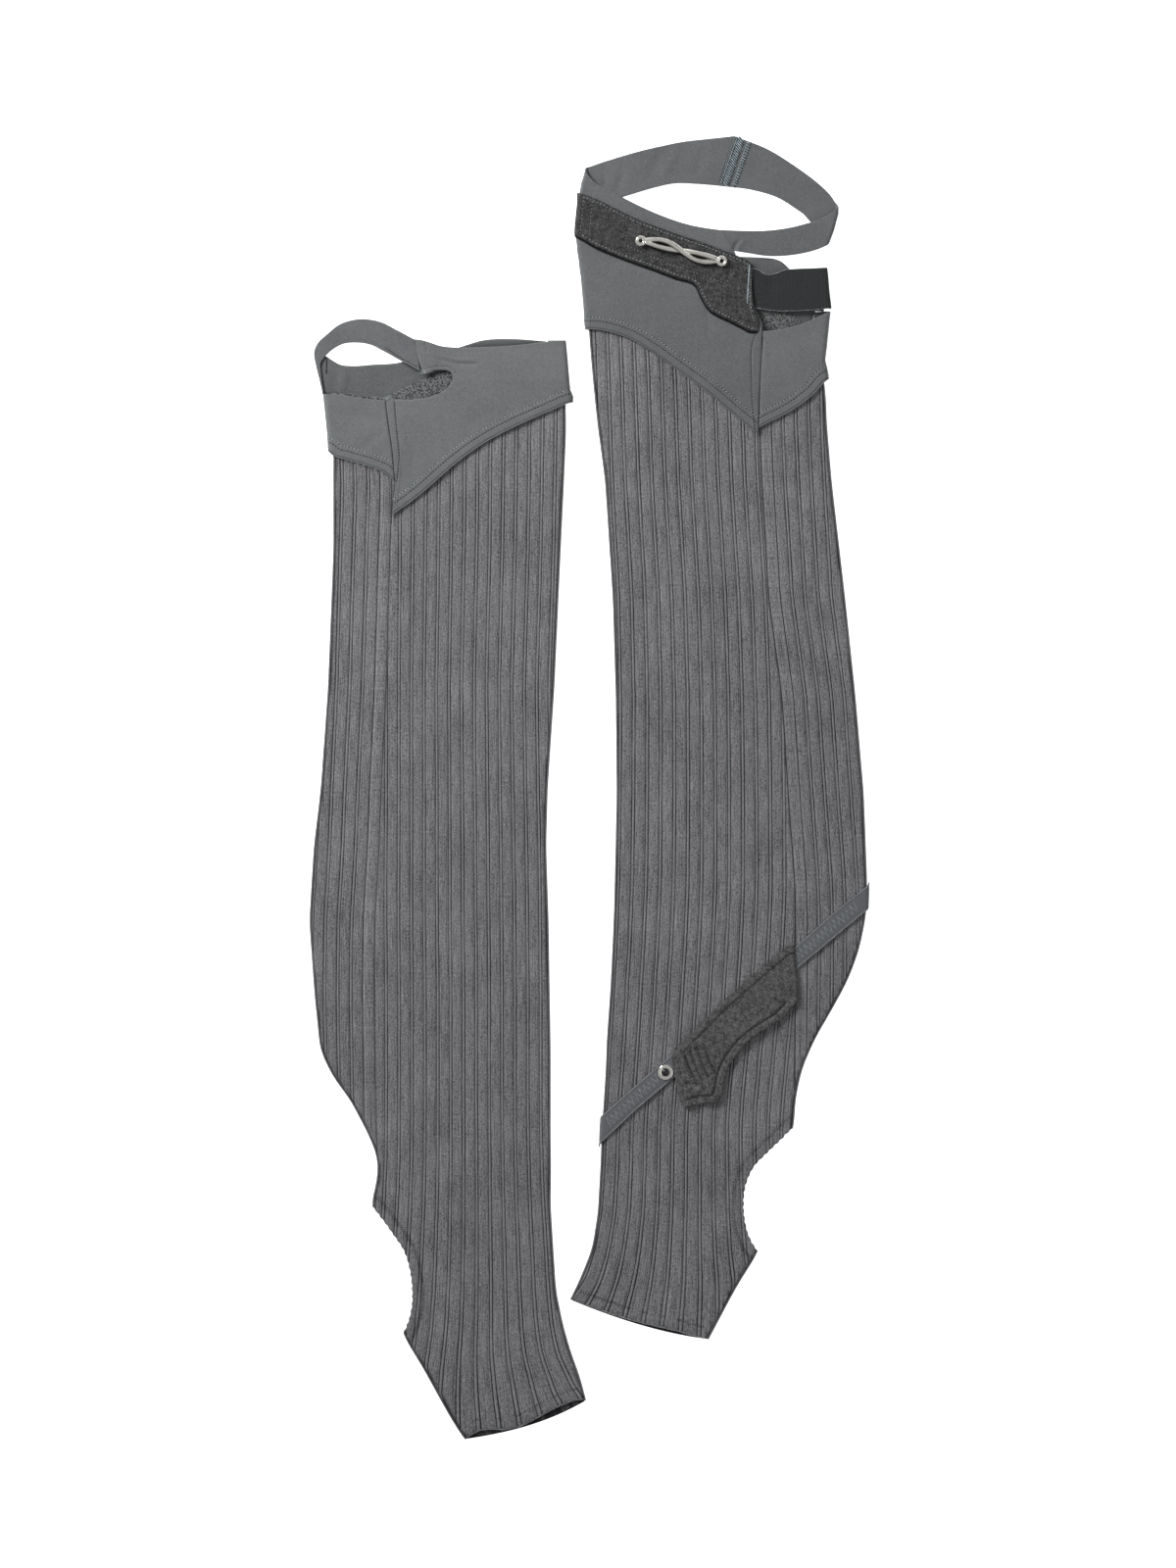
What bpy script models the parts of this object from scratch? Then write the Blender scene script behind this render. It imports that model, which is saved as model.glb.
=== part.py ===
"""A pair of thigh-high stirrup leg warmers, laid flat side by side.

Each leg is a tube of ribbed knit, flattened, with one seam up its front near the outer edge and a
heel opening cut in its fold. A plain jersey yoke with a pointed hem goes round its top and lies over
the knit. The left yoke carries a small loop strap, the right one a wide ring band, a suede belt with
a metal bar, a black elastic and, at the calf, a strap with a suede patch and a snap.

Tables and sizes are in millimetres: +X to the right, +Y towards the tops, +Z up from the floor.
"""

import math
from collections import namedtuple

import bmesh
import bpy
from mathutils import Vector
from mathutils.kdtree import KDTree

MM = 0.001
WELD = 1e-6             # metres
MIDDLE_X = 0.55         # middle of the pair's outline, which becomes the origin
MIDDLE_Y = 0.4

# Cloth thicknesses and clearances
GAP = 0.3               # between pieces that touch
KNIT_WALL = 1.2         # knit at the bottom of its grooves
KNIT_HOLLOW = 0.5       # between the two layers of a leg
KNIT_HEIGHT = 2 * KNIT_WALL + KNIT_HOLLOW
RIB = 0.7               # height of a wide rib
THIN_RIB = 0.4          # height of the thin rib that stands in each groove
JERSEY = 1.3
ELASTIC = 1.0
STRAP_ROOM = 0.7        # between the calf strap and the folds that it goes round
SUEDE = 1.5
FACING = 1.0
LIFT = JERSEY + GAP     # the knit's underside where it lies on the back of the yoke
YOKE_TOP_HEIGHT = 3.2   # inside of the front jersey at the top of a yoke

# One repeat of the rib, across the knit: place in the repeat and height above the groove
Rise = namedtuple("Rise", "place height")
REPEAT = (
    Rise(0.00, THIN_RIB),
    Rise(0.11, 0.0),
    Rise(0.20, RIB),
    Rise(0.80, RIB),
    Rise(0.89, 0.0),
)
SIDE_FIRST = 7.4        # first thin rib of the side, from the seam
SIDE_PITCH = 9.6
SIDE_REPEATS = 6
HEM_BOW = 3.0           # dip of the foot hem between its two folds

# Rings of a leg, from its top to its foot. A ring runs straight from the left to the right fold.
# seam: where the front seam crosses it. first, last: the outermost thin ribs of the main front,
# which may lie past a fold or past the seam, where they don't show.
Ring = namedtuple("Ring", "left_x left_y right_x right_y seam first last")

LEFT_REPEATS = 16
LEFT_RINGS = (
    Ring(-188.3, 261.6, -16.9, 296.1, -145.8, -177.5, -24.1),
    Ring(-187.6, 242.9, -16.9, 261.6, -145.1, -176.8, -24.1),
    Ring(-187.6, 218.4, -19.1, 218.4, -144.4, -176.0, -24.8),
    Ring(-187.6, 175.2, -21.2, 175.2, -145.8, -176.0, -25.6),
    Ring(-191.5, 74.4, -25.6, 74.4, -148.7, -176.0, -28.8),
    Ring(-196.9, -1.2, -29.9, -1.2, -152.3, -176.4, -27.7),
    Ring(-202.0, -44.0, -31.0, -44.0, -153.9, -177.0, -26.7),
    Ring(-205.3, -98.4, -29.2, -98.4, -157.0, -177.5, -25.9),
    Ring(-201.6, -150.3, -28.4, -150.3, -157.6, -176.8, -25.6),
    Ring(-196.2, -193.5, -27.7, -193.5, -157.0, -176.8, -25.6),
    Ring(-185.4, -214.3, -27.7, -214.3, -156.6, -176.8, -25.6),
    Ring(-176.0, -228.0, -27.7, -228.0, -156.6, -176.8, -25.6),
    Ring(-160.9, -256.8, -27.7, -256.8, -155.9, -177.1, -25.2),
    Ring(-154.7, -273.4, -27.4, -273.4, -154.7, -177.5, -24.8),
    Ring(-155.6, -289.0, -27.5, -289.0, -155.6, -178.4, -24.2),
    Ring(-160.0, -306.5, -27.7, -306.5, -160.0, -179.6, -23.4),
    Ring(-153.0, -336.0, -26.3, -330.3, -153.0, -182.5, -21.6),
    Ring(-144.4, -370.6, -23.0, -369.1, -144.4, -186.8, -19.1),
    Ring(-136.2, -403.0, -16.9, -393.6, -136.2, -193.3, -16.2),
    Ring(-122.8, -424.6, -11.9, -413.8, -122.8, -203.4, -11.2),
    Ring(-106.9, -451.9, -6.1, -433.2, -106.9, -219.2, -0.4),
    Ring(-90.4, -477.1, -1.8, -449.8, -90.4, -230.8, 9.7),
)

RIGHT_REPEATS = 14
RIGHT_RINGS = (
    Ring(-0.4, 348.0, 170.6, 317.7, 124.2, 13.3, 149.4),
    Ring(0.4, 330.0, 173.4, 296.1, 124.9, 14.0, 150.1),
    Ring(2.5, 304.8, 174.6, 283.2, 125.3, 14.8, 151.6),
    Ring(6.1, 268.8, 175.0, 268.8, 125.6, 15.8, 152.3),
    Ring(11.9, 225.6, 178.6, 225.6, 127.4, 17.3, 153.7),
    Ring(17.6, 139.2, 188.6, 139.2, 132.5, 22.0, 159.5),
    Ring(19.8, 67.2, 196.2, 67.2, 142.2, 23.4, 162.4),
    Ring(20.5, -4.8, 202.3, -4.8, 146.9, 23.0, 163.8),
    Ring(19.1, -69.6, 204.8, -69.6, 151.6, 22.0, 164.5),
    Ring(18.4, -94.8, 203.0, -94.8, 152.3, 20.9, 163.8),
    Ring(17.3, -120.0, 197.6, -120.0, 152.3, 19.8, 162.4),
    Ring(16.2, -141.6, 189.7, -141.6, 152.3, 18.4, 160.9),
    Ring(15.1, -159.6, 180.4, -159.6, 151.9, 17.6, 159.5),
    Ring(13.3, -184.8, 165.2, -184.8, 151.9, 16.2, 157.3),
    Ring(12.6, -206.4, 157.0, -206.4, 151.6, 14.8, 155.2),
    Ring(11.2, -228.0, 152.3, -228.0, 152.3, 13.3, 153.0),
    Ring(9.7, -250.3, 150.8, -250.3, 150.8, 11.9, 151.6),
    Ring(8.6, -278.4, 142.9, -278.4, 142.9, 11.2, 152.3),
    Ring(6.8, -311.5, 133.6, -311.5, 133.6, 9.0, 154.4),
    Ring(2.5, -338.9, 124.7, -341.8, 124.7, 4.0, 159.5),
    Ring(-6.1, -360.5, 109.1, -366.3, 109.1, -3.2, 168.1),
    Ring(-13.7, -376.3, 88.4, -405.5, 88.4, -14.8, 176.8),
)

# Edge points: a heel opening runs from its upper corner to its lower one and closes past the fold
Point = namedtuple("Point", "x y")
LEFT_HEEL = (
    Point(-175.7, -302.1), Point(-160.5, -307.0), Point(-151.3, -317.5), Point(-143.9, -327.8),
    Point(-135.1, -341.6), Point(-131.4, -354.2), Point(-129.6, -369.0), Point(-129.9, -381.2),
    Point(-132.8, -393.2), Point(-137.1, -401.7), Point(-150.7, -407.1),
)
RIGHT_HEEL = (
    Point(164.8, -246.1), Point(150.6, -250.2), Point(141.3, -258.8), Point(130.8, -268.9),
    Point(121.8, -278.2), Point(117.5, -286.2), Point(114.6, -296.2), Point(113.9, -307.0),
    Point(115.4, -321.4), Point(119.0, -332.2), Point(124.7, -340.7), Point(139.8, -346.1),
)
LEFT_SLIT = (
    Point(-165.0, 285.2), Point(-149.4, 284.6), Point(-128.2, 283.9), Point(-110.5, 287.5),
    Point(-100.4, 296.1), Point(-99.0, 303.6), Point(-103.3, 306.5), Point(-115.0, 306.9),
    Point(-121.3, 305.1), Point(-127.1, 329.3), Point(-128.0, 350.0), Point(-165.0, 350.0),
)

# Inside folds of the yokes and of the right ring band, as x at heights y
Fold = namedtuple("Fold", "y x")
LEFT_YOKE_LEFT = (Fold(246.5, -190.1), Fold(252.0, -190.1), Fold(288.2, -193.7), Fold(322.0, -196.5))
LEFT_YOKE_RIGHT = (Fold(282.5, -12.7), Fold(289.0, -13.4), Fold(328.3, -17.8))
RIGHT_YOKE_LEFT = (
    Fold(336.0, -1.3), Fold(370.0, -4.0), Fold(395.0, -7.3), Fold(405.0, -8.2), Fold(415.0, -8.0),
    Fold(430.0, -4.5), Fold(442.0, -2.3), Fold(455.0, -2.1),
)
RIGHT_YOKE_RIGHT = (
    Fold(299.7, 175.5), Fold(314.0, 172.6), Fold(349.4, 176.7), Fold(352.0, 177.5), Fold(382.0, 174.3),
)
RING_RIGHT = (Fold(400.0, 181.0), Fold(430.0, 181.0))
RING_LEFT = (Fold(400.0, 0.0), Fold(430.0, 0.0))

# Heights where the knit starts to rise onto the back of the yoke and where it lies on it, and where
# the front jersey starts to sink and has sunk
Levels = namedtuple("Levels", "knit_low knit_lifted jersey_high jersey_sunk")
LEFT_LEVELS = Levels(175.2, 242.9, 299.0, 323.0)
RIGHT_LEVELS = Levels(225.6, 296.1, 351.0, 388.0)

# Strips across a flat piece, from its lower to its upper edge. Past a fold, x goes on round it.
Strip = namedtuple("Strip", "low_x low_y high_x high_y")
FOLD_STEPS = (1.6, 3.2, 4.8, 6.4, 8.0, 14.0)    # strips that carry jersey round a fold, past it
TOP_LEAN = 0.33                                 # rise of the right yoke's upper edge on its back

LEFT_YOKE_FRONT = (
    Strip(-141.2, 199.3, -153.4, 328.5), Strip(-122.3, 215.5, -124.0, 328.6),
    Strip(-99.0, 236.0, -106.0, 323.6), Strip(-76.7, 252.2, -80.0, 323.1),
    Strip(-50.3, 266.1, -52.0, 324.6), Strip(-28.4, 275.7, -33.0, 326.8),
    Strip(-11.4, 282.5, -16.5, 328.3),
)
LEFT_YOKE_SIDE = (
    Strip(-191.4, 246.5, -195.0, 288.2), Strip(-183.0, 242.3, -186.0, 287.2),
    Strip(-168.1, 237.5, -172.4, 286.1), Strip(-153.0, 232.3, -158.0, 285.2),
    Strip(-144.1, 226.0, -149.7, 284.6),
)
LEFT_LOOP = (
    Strip(-122.8, 305.1, -129.0, 329.5), Strip(-137.2, 313.1, -147.2, 339.6),
    Strip(-148.7, 320.6, -157.6, 343.7), Strip(-160.5, 325.9, -168.1, 343.9),
    Strip(-172.4, 326.8, -178.2, 342.5), Strip(-182.5, 324.3, -191.4, 334.4),
    Strip(-190.0, 319.6, -199.0, 327.6), Strip(-193.5, 313.0, -201.7, 321.0),
    Strip(-193.3, 304.0, -199.4, 308.0), Strip(-193.6, 290.5, -195.6, 290.5),
)
# Most that the underside of the loop strap rises over the floor, strip by strip
Lift = namedtuple("Lift", "z")
LEFT_LOOP_LIFTS = (
    Lift(9.0), Lift(3.2), Lift(1.8), Lift(0.6), Lift(0.0),
    Lift(0.8), Lift(1.6), Lift(1.6), Lift(1.6), Lift(1.6),
)
LEFT_YOKE_BACK = (
    Point(-176.0, 249.6), Point(-27.0, 279.4), Point(-31.0, 327.6), Point(-54.7, 329.3),
    Point(-76.7, 328.5), Point(-96.1, 323.0), Point(-122.8, 317.7), Point(-137.2, 312.7),
    Point(-168.1, 309.8), Point(-181.1, 310.2), Point(-193.0, 315.6), Point(-201.0, 320.8),
    Point(-198.4, 304.0), Point(-195.4, 289.2), Point(-180.0, 289.2),
)
LEFT_FACING = (
    Point(-178.0, 265.2), Point(-28.0, 295.4), Point(-28.0, 319.0), Point(-72.4, 313.4),
    Point(-100.4, 304.3), Point(-122.3, 298.4), Point(-137.2, 293.3), Point(-149.4, 284.6),
    Point(-178.0, 281.0),
)

RIGHT_YOKE_FRONT = (
    Strip(-2.6, 335.9, -3.4, 453.1), Strip(1.4, 335.8, -0.6, 450.8), Strip(11.2, 335.0, 14.5, 439.7),
    Strip(25.0, 331.0, 30.0, 430.2),
    Strip(45.0, 320.5, 48.9, 421.7), Strip(66.0, 305.5, 70.8, 413.9), Strip(87.0, 290.0, 88.0, 410.2),
    Strip(102.0, 277.4, 98.7, 408.8), Strip(114.0, 267.4, 106.5, 390.0),
    Strip(124.6, 258.6, 125.1, 336.0),
)
RIGHT_YOKE_SIDE = (
    Strip(125.4, 264.0, 125.4, 335.0), Strip(147.2, 275.0, 150.0, 338.6),
    Strip(165.0, 288.0, 166.0, 344.0), Strip(176.8, 299.7, 177.7, 349.1),
)
RIGHT_YOKE_BACK = (
    Point(10.6, 333.0), Point(163.4, 302.4), Point(157.4, 313.0), Point(160.6, 332.0),
    Point(164.8, 348.0), Point(166.8, 350.4), Point(173.0, 350.4), Point(172.0, 379.7),
    Point(147.2, 380.4), Point(139.3, 388.3), Point(108.2, 389.0), Point(60.0, 395.0),
    Point(0.4, 397.4), Point(6.2, 370.0),
)
RIGHT_FACING = (Point(16.0, 347.0), Point(159.0, 322.2), Point(159.0, 362.0), Point(16.0, 362.0))
RING_UNDER = 365.1      # x along the ring band past its right fold, less this, is x on its underside
RIGHT_RING_FRONT = (
    Strip(106.8, 390.1, 99.0, 408.8), Strip(126.9, 390.5, 126.9, 408.5),
    Strip(150.0, 392.8, 147.2, 411.0), Strip(168.0, 396.2, 164.5, 414.7),
    Strip(180.0, 402.0, 180.0, 423.5), Strip(181.3, 402.8, 181.3, 424.5),
    Strip(182.6, 403.6, 182.6, 425.8), Strip(183.8, 404.4, 183.8, 427.2),
    Strip(185.1, 405.2, 185.1, 428.6),
    Strip(RING_UNDER - 165.2, 414.9, RING_UNDER - 177.0, 436.4),
    Strip(RING_UNDER - 150.8, 425.0, RING_UNDER - 166.6, 446.8),
    Strip(RING_UNDER - 136.4, 432.6, RING_UNDER - 149.0, 459.4),
    Strip(RING_UNDER - 118.4, 437.6, RING_UNDER - 130.6, 469.2),
    Strip(RING_UNDER - 95.7, 441.7, RING_UNDER - 107.9, 477.7),
)
RIGHT_RING_BACK = (
    Point(95.3, 441.7), Point(107.4, 477.9), Point(83.2, 476.4), Point(64.4, 473.6),
    Point(42.8, 469.3), Point(19.8, 461.4), Point(11.2, 458.2), Point(11.2, 440.0),
    Point(5.6, 425.4),
    Point(25.6, 432.6), Point(35.6, 435.5), Point(48.6, 439.4), Point(64.4, 443.7),
    Point(78.8, 443.0),
)
BELT = (
    Strip(-11.0, 407.4, -8.8, 436.8), Strip(-8.2, 405.6, -6.4, 435.8), Strip(-5.4, 403.8, -3.6, 435.0),
    Strip(3.0, 398.4, 5.0, 433.4), Strip(17.6, 391.9, 22.4, 423.3),
    Strip(33.0, 386.0, 36.0, 418.0), Strip(48.6, 380.4, 52.0, 412.0), Strip(64.0, 374.5, 70.0, 405.6),
    Strip(78.6, 368.9, 88.0, 399.0), Strip(83.2, 359.5, 97.0, 395.6), Strip(89.5, 350.1, 106.6, 392.0),
    Strip(96.0, 346.3, 112.0, 389.0), Strip(103.3, 342.9, 116.8, 385.8),
    Strip(112.0, 338.5, 118.8, 370.0), Strip(119.2, 335.0, 120.8, 351.6),
    Strip(124.6, 335.0, 124.6, 341.0),
)
ELASTIC_BAND = (
    Strip(120.9, 351.8, 112.9, 380.0), Strip(126.0, 351.0, 125.0, 379.6),
    Strip(136.4, 350.2, 136.4, 377.2), Strip(147.2, 349.6, 147.2, 380.2),
    Strip(162.0, 350.4, 162.0, 381.2), Strip(177.0, 351.6, 174.4, 381.8),
    Strip(178.8, 351.6, 176.2, 381.8), Strip(180.6, 351.6, 178.0, 381.8),
)
CALF_STRAP_UPPER = (
    Strip(147.0, -138.6, 145.0, -123.0), Strip(153.7, -133.0, 153.0, -116.1),
    Strip(179.6, -111.4, 179.6, -92.3), Strip(202.6, -92.2, 203.6, -73.0),
    Strip(204.6, -90.6, 205.8, -71.2), Strip(206.8, -88.8, 208.0, -69.4),
)
CALF_STRAP_LOWER = (
    Strip(5.6, -264.6, 6.8, -243.4), Strip(8.0, -262.4, 9.2, -241.2),
    Strip(10.6, -260.0, 11.6, -239.2), Strip(35.6, -236.7, 35.6, -217.9),
    Strip(61.6, -214.3, 60.1, -197.1), Strip(72.0, -205.0, 70.0, -188.6),
)
CALF_PATCH = (
    Strip(65.4, -223.0, 61.2, -197.1), Strip(69.0, -233.1, 64.8, -192.4),
    Strip(82.0, -232.4, 70.9, -184.8), Strip(93.0, -231.6, 79.0, -177.0),
    Strip(97.4, -226.5, 87.0, -169.0), Strip(100.7, -211.3, 94.5, -161.4),
    Strip(106.9, -198.9, 107.0, -150.0), Strip(119.5, -184.8, 122.6, -136.4),
    Strip(132.0, -176.5, 133.0, -127.6), Strip(143.0, -169.0, 142.9, -119.3),
    Strip(153.7, -156.7, 150.7, -115.3),
)
# Outlines of the snap's two round pieces, turned about its centre
SNAP_CENTRE = Point(56.5, -209.3)
Turned = namedtuple("Turned", "radius height")
SNAP_WASHER = (Turned(3.0, 0.0), Turned(5.6, 0.0), Turned(5.6, 0.5), Turned(5.0, 1.0), Turned(3.0, 1.0))
SNAP_STUD = (Turned(0.0, 0.0), Turned(2.6, 0.0), Turned(2.6, 0.8), Turned(1.9, 1.6), Turned(0.0, 1.9))
SNAP_SEGMENTS = 24

# The metal bar, from its left tip to its right end, and its short lower prong
Bar = namedtuple("Bar", "x y width height")
BAR = (
    Bar(35.8, 401.6, 2.0, 1.2), Bar(39.5, 401.0, 8.6, 2.6), Bar(46.0, 398.4, 8.2, 3.0),
    Bar(56.0, 396.6, 6.4, 3.0), Bar(66.0, 394.0, 6.0, 3.0), Bar(76.0, 389.8, 6.6, 3.2),
    Bar(85.0, 386.6, 5.4, 3.0), Bar(94.0, 385.8, 5.2, 2.8), Bar(100.2, 387.4, 4.0, 1.6),
)
PRONG = (Bar(82.0, 387.6, 3.0, 2.2), Bar(88.0, 383.2, 3.2, 2.4), Bar(95.4, 381.0, 1.8, 1.4))
BAR_SIDES = 10
SHARP_ANGLE = 40        # degrees between faces that meet in a sharp edge

ARC_POINTS = 3          # points of the knit round each fold, between front and back
UNDER_POINTS = 4        # points of a ring across its underside
INSIDE_POINTS = 10      # points of a ring across the inside of its front
CUTTER_REACH = 12.0     # how far the cutting shapes go below and above the cloth


def place(x, y, z):
    """A point given in millimetres, as metres from the origin."""
    return Vector(((x - MIDDLE_X) * MM, (y - MIDDLE_Y) * MM, z * MM))


def between(a, b, share):
    """The value that lies this share of the way from a to b."""
    return a + (b - a) * share


def share_of(value, low, high):
    """How far a value lies from low to high, kept between 0 and 1."""
    return min(max((value - low) / (high - low), 0.0), 1.0)


def fold_at(folds, y):
    """The x of a fold at a height, straight between the rows of its table."""
    rows = sorted(folds)
    if y <= rows[0].y:
        return rows[0].x
    for low, high in zip(rows, rows[1:]):
        if y <= high.y:
            return between(low.x, high.x, share_of(y, low.y, high.y))
    return rows[-1].x


def smooth_rows(rows, steps=2):
    """More rows of the same kind, on one smooth curve through those of a table."""
    kind = type(rows[0])
    last = len(rows) - 1
    curve = []
    for i in range(last):
        before, start, end, after = (rows[min(max(i + k, 0), last)] for k in (-1, 0, 1, 2))
        for step in range(steps):
            t = step / steps
            curve.append(kind(*(
                0.5 * (2 * b + (c - a) * t + (2 * a - 5 * b + 4 * c - d) * t * t
                       + (3 * b - a - 3 * c + d) * t ** 3)
                for a, b, c, d in zip(before, start, end, after))))
    curve.append(rows[last])
    return curve


class Form:
    """A flattened tube that cloth lies round: its two folds, its underside and its top."""

    def __init__(self, left, right, low, high):
        self.left = left
        self.right = right
        self.low = low
        self.high = high

    def point(self, along, y, out, middle):
        """The point a distance out from the form. along is x on the front and goes on, as length on
        the cloth whose middle is this far out, round a fold and back along the underside."""
        low, high = self.low(y), self.high(y)
        radius = (high - low) / 2
        start = fold_at(self.left, y) + radius
        end = fold_at(self.right, y) - radius
        if start <= along <= end:
            return place(along, y, high + out)
        side = 1 if along > end else -1
        corner = end if side > 0 else start
        past = abs(along - corner)
        bend = radius + middle
        if past < math.pi * bend:
            turn = past / bend
            reach = radius + out
            return place(corner + side * reach * math.sin(turn), y, low + radius + reach * math.cos(turn))
        return place(corner - side * (past - math.pi * bend), y, low - out)


def knit_rise(levels):
    """Height of a leg's underside over the floor, as a function of y."""
    return lambda y: LIFT * share_of(y, levels.knit_low, levels.knit_lifted)


def over_knit(levels):
    """Height just above the ribs, where what covers the knit lies."""
    rise = knit_rise(levels)
    return lambda y: rise(y) + KNIT_HEIGHT + RIB + GAP


def inside_yoke(levels):
    """Height of the inside of a yoke's front: over the ribs, then sinking towards its top."""
    over = over_knit(levels)

    def height(y):
        sunk = share_of(y, levels.jersey_high, levels.jersey_sunk)
        return between(over(y), YOKE_TOP_HEIGHT, sunk)
    return height


def front_columns(ring, repeats, side, start, end):
    """Places and heights of the ribs across a ring's front, from its start to its end. Ribs past the
    seam or a fold gather on it, at groove depth."""
    columns = [(start, 0.0), (ring.seam, 0.0), (end, 0.0)]
    for i in range(-1, repeats + 1):
        for rise in REPEAT:
            x = between(ring.first, ring.last, (i + rise.place) / repeats)
            hidden = (ring.seam - x) * side <= 0
            columns.append((ring.seam, 0.0) if hidden else (x, rise.height))
    for i in range(SIDE_REPEATS):
        for rise in REPEAT:
            columns.append((ring.seam + side * (SIDE_FIRST + (i + rise.place) * SIDE_PITCH), rise.height))
    columns.sort(key=lambda column: column[0])
    return [(min(max(x, start), end), height if start < x < end else 0.0) for x, height in columns]


# A point or vertex of a closed loop, with its place round it: 0 at the start, then 1, 2, 3 and 4 again
# at the start, after the front, the right fold, the underside and the left fold
Stop = namedtuple("Stop", "point place")
LOOP_RUNS = 4


def stops_round(*runs):
    """Stops of a closed loop of four runs of points. Each run starts at a whole number."""
    stops = []
    for number, (run, ahead) in enumerate(zip(runs, runs[1:] + runs[:1])):
        lengths = [(b - a).length for a, b in zip(run, run[1:] + ahead[:1])]
        stops += [Stop(point, number + sum(lengths[:i]) / sum(lengths)) for i, point in enumerate(run)]
    return stops


def ring_loops(ring, form, repeats, side, bow):
    """One ring of a leg as two closed loops of stops: ribbed outside and plain inside. bow is how
    far the ring dips midway between the folds."""

    def y_at(x):
        share = (x - ring.left_x) / (ring.right_x - ring.left_x)
        return between(ring.left_y, ring.right_y, share) - bow * 4 * share * (1 - share)

    def radius_at(y):
        return (form.high(y) - form.low(y)) / 2

    def across(count, x0, x1, height):
        xs = [between(x0, x1, i / (count - 1)) for i in range(count)]
        return [place(x, y_at(x), height(y_at(x))) for x in xs]

    def round_fold(x, direction, reach, angles):
        y = y_at(x + direction * radius_at(y_at(x)))
        middle = form.low(y) + radius_at(y)
        return [place(x + direction * reach * math.sin(a), y, middle + reach * math.cos(a)) for a in angles]

    start = ring.left_x + radius_at(ring.left_y)
    end = ring.right_x - radius_at(ring.right_y)
    turns = [math.pi * (i + 1) / (ARC_POINTS + 1) for i in range(ARC_POINTS)]
    back_turns = list(reversed(turns))
    front = [place(x, y_at(x), form.high(y_at(x)) + height)
             for x, height in front_columns(ring, repeats, side, start, end)]
    under = across(UNDER_POINTS, end, start, form.low)
    outside = stops_round(front[:-1], front[-1:] + round_fold(end, 1, radius_at(ring.right_y), turns),
                          under[:-1], under[-1:] + round_fold(start, -1, radius_at(ring.left_y), back_turns))
    front = across(INSIDE_POINTS, start, end, lambda y: form.high(y) - KNIT_WALL)
    under = across(UNDER_POINTS, end, start, lambda y: form.low(y) + KNIT_WALL)
    inside = stops_round(front[:-1], front[-1:] + round_fold(end, 1, KNIT_HOLLOW / 2, [math.pi / 2]),
                         under[:-1], under[-1:] + round_fold(start, -1, KNIT_HOLLOW / 2, [math.pi / 2]))
    return outside, inside


def add_object(name, bm, material):
    """Makes one named object of a closed mesh, with its faces pointing out."""
    bmesh.ops.recalc_face_normals(bm, faces=bm.faces)
    if bm.calc_volume(signed=True) < 0:
        bmesh.ops.reverse_faces(bm, faces=bm.faces)
    mesh = bpy.data.meshes.new(name)
    bm.to_mesh(mesh)
    bm.free()
    mesh.shade_smooth()
    mesh.set_sharp_from_angle(angle=math.radians(SHARP_ANGLE))
    mesh.materials.append(material)
    item = bpy.data.objects.new(name, mesh)
    bpy.context.scene.collection.objects.link(item)
    return item


def add_tube_wall(bm, loops):
    """Skins a stack of closed loops of stops and welds what gathers on a fold or seam. Gives the
    vertices of its two rims as stops, in the order of the first and last loop."""
    columns = len(loops[0])
    made = bmesh.ops.create_grid(bm, x_segments=columns, y_segments=len(loops) - 1, size=1.0)["verts"]
    for i, vert in enumerate(made):
        row, column = divmod(i, columns + 1)
        vert.co = loops[row][column % columns].point
    bmesh.ops.remove_doubles(bm, verts=made, dist=WELD)
    rim = list({vert for vert in bm.verts if vert.is_boundary})
    tree = KDTree(len(rim))
    for i, vert in enumerate(rim):
        tree.insert(vert.co, i)
    tree.balance()
    ends = []
    for loop in (loops[0], loops[-1]):
        ordered = [Stop(rim[tree.find(stop.point)[1]], stop.place) for stop in loop]
        ends.append([stop for stop, before in zip(ordered, ordered[-1:] + ordered)
                     if stop.point is not before.point])
    return ends


def close_rim(bm, outside, inside):
    """Faces between two loops of stops that start at one corner and run the same way round."""
    i = j = 0
    while i < len(outside) or j < len(inside):
        outside_next, inside_next = outside[(i + 1) % len(outside)], inside[(j + 1) % len(inside)]
        a, b = outside[i % len(outside)].point, inside[j % len(inside)].point
        outside_place, inside_place = outside_next.place or LOOP_RUNS, inside_next.place or LOOP_RUNS
        if j == len(inside) or (i < len(outside) and outside_place <= inside_place):
            bm.faces.new((a, outside_next.point, b))
            i += 1
        else:
            bm.faces.new((a, inside_next.point, b))
            j += 1


def make_leg(name, rings, levels, repeats, side, heel, material):
    """One leg's knit tube, with its heel opening cut through both layers at the fold."""
    rise = knit_rise(levels)
    form = Form([Fold(r.left_y, r.left_x) for r in rings], [Fold(r.right_y, r.right_x) for r in rings],
                rise, lambda y: rise(y) + KNIT_HEIGHT)
    loops = [ring_loops(ring, form, repeats, side, HEM_BOW if ring is rings[-1] else 0.0) for ring in rings]
    wall = bmesh.new()
    outside_rims = add_tube_wall(wall, [outside for outside, _ in loops])
    inside_rims = add_tube_wall(wall, [inside for _, inside in loops])
    for outside, inside in zip(outside_rims, inside_rims):
        close_rim(wall, outside, inside)
    leg = add_object(name, wall, material)
    cut_with(leg, make_cutter(name + "_heel_cut", heel))


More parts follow.
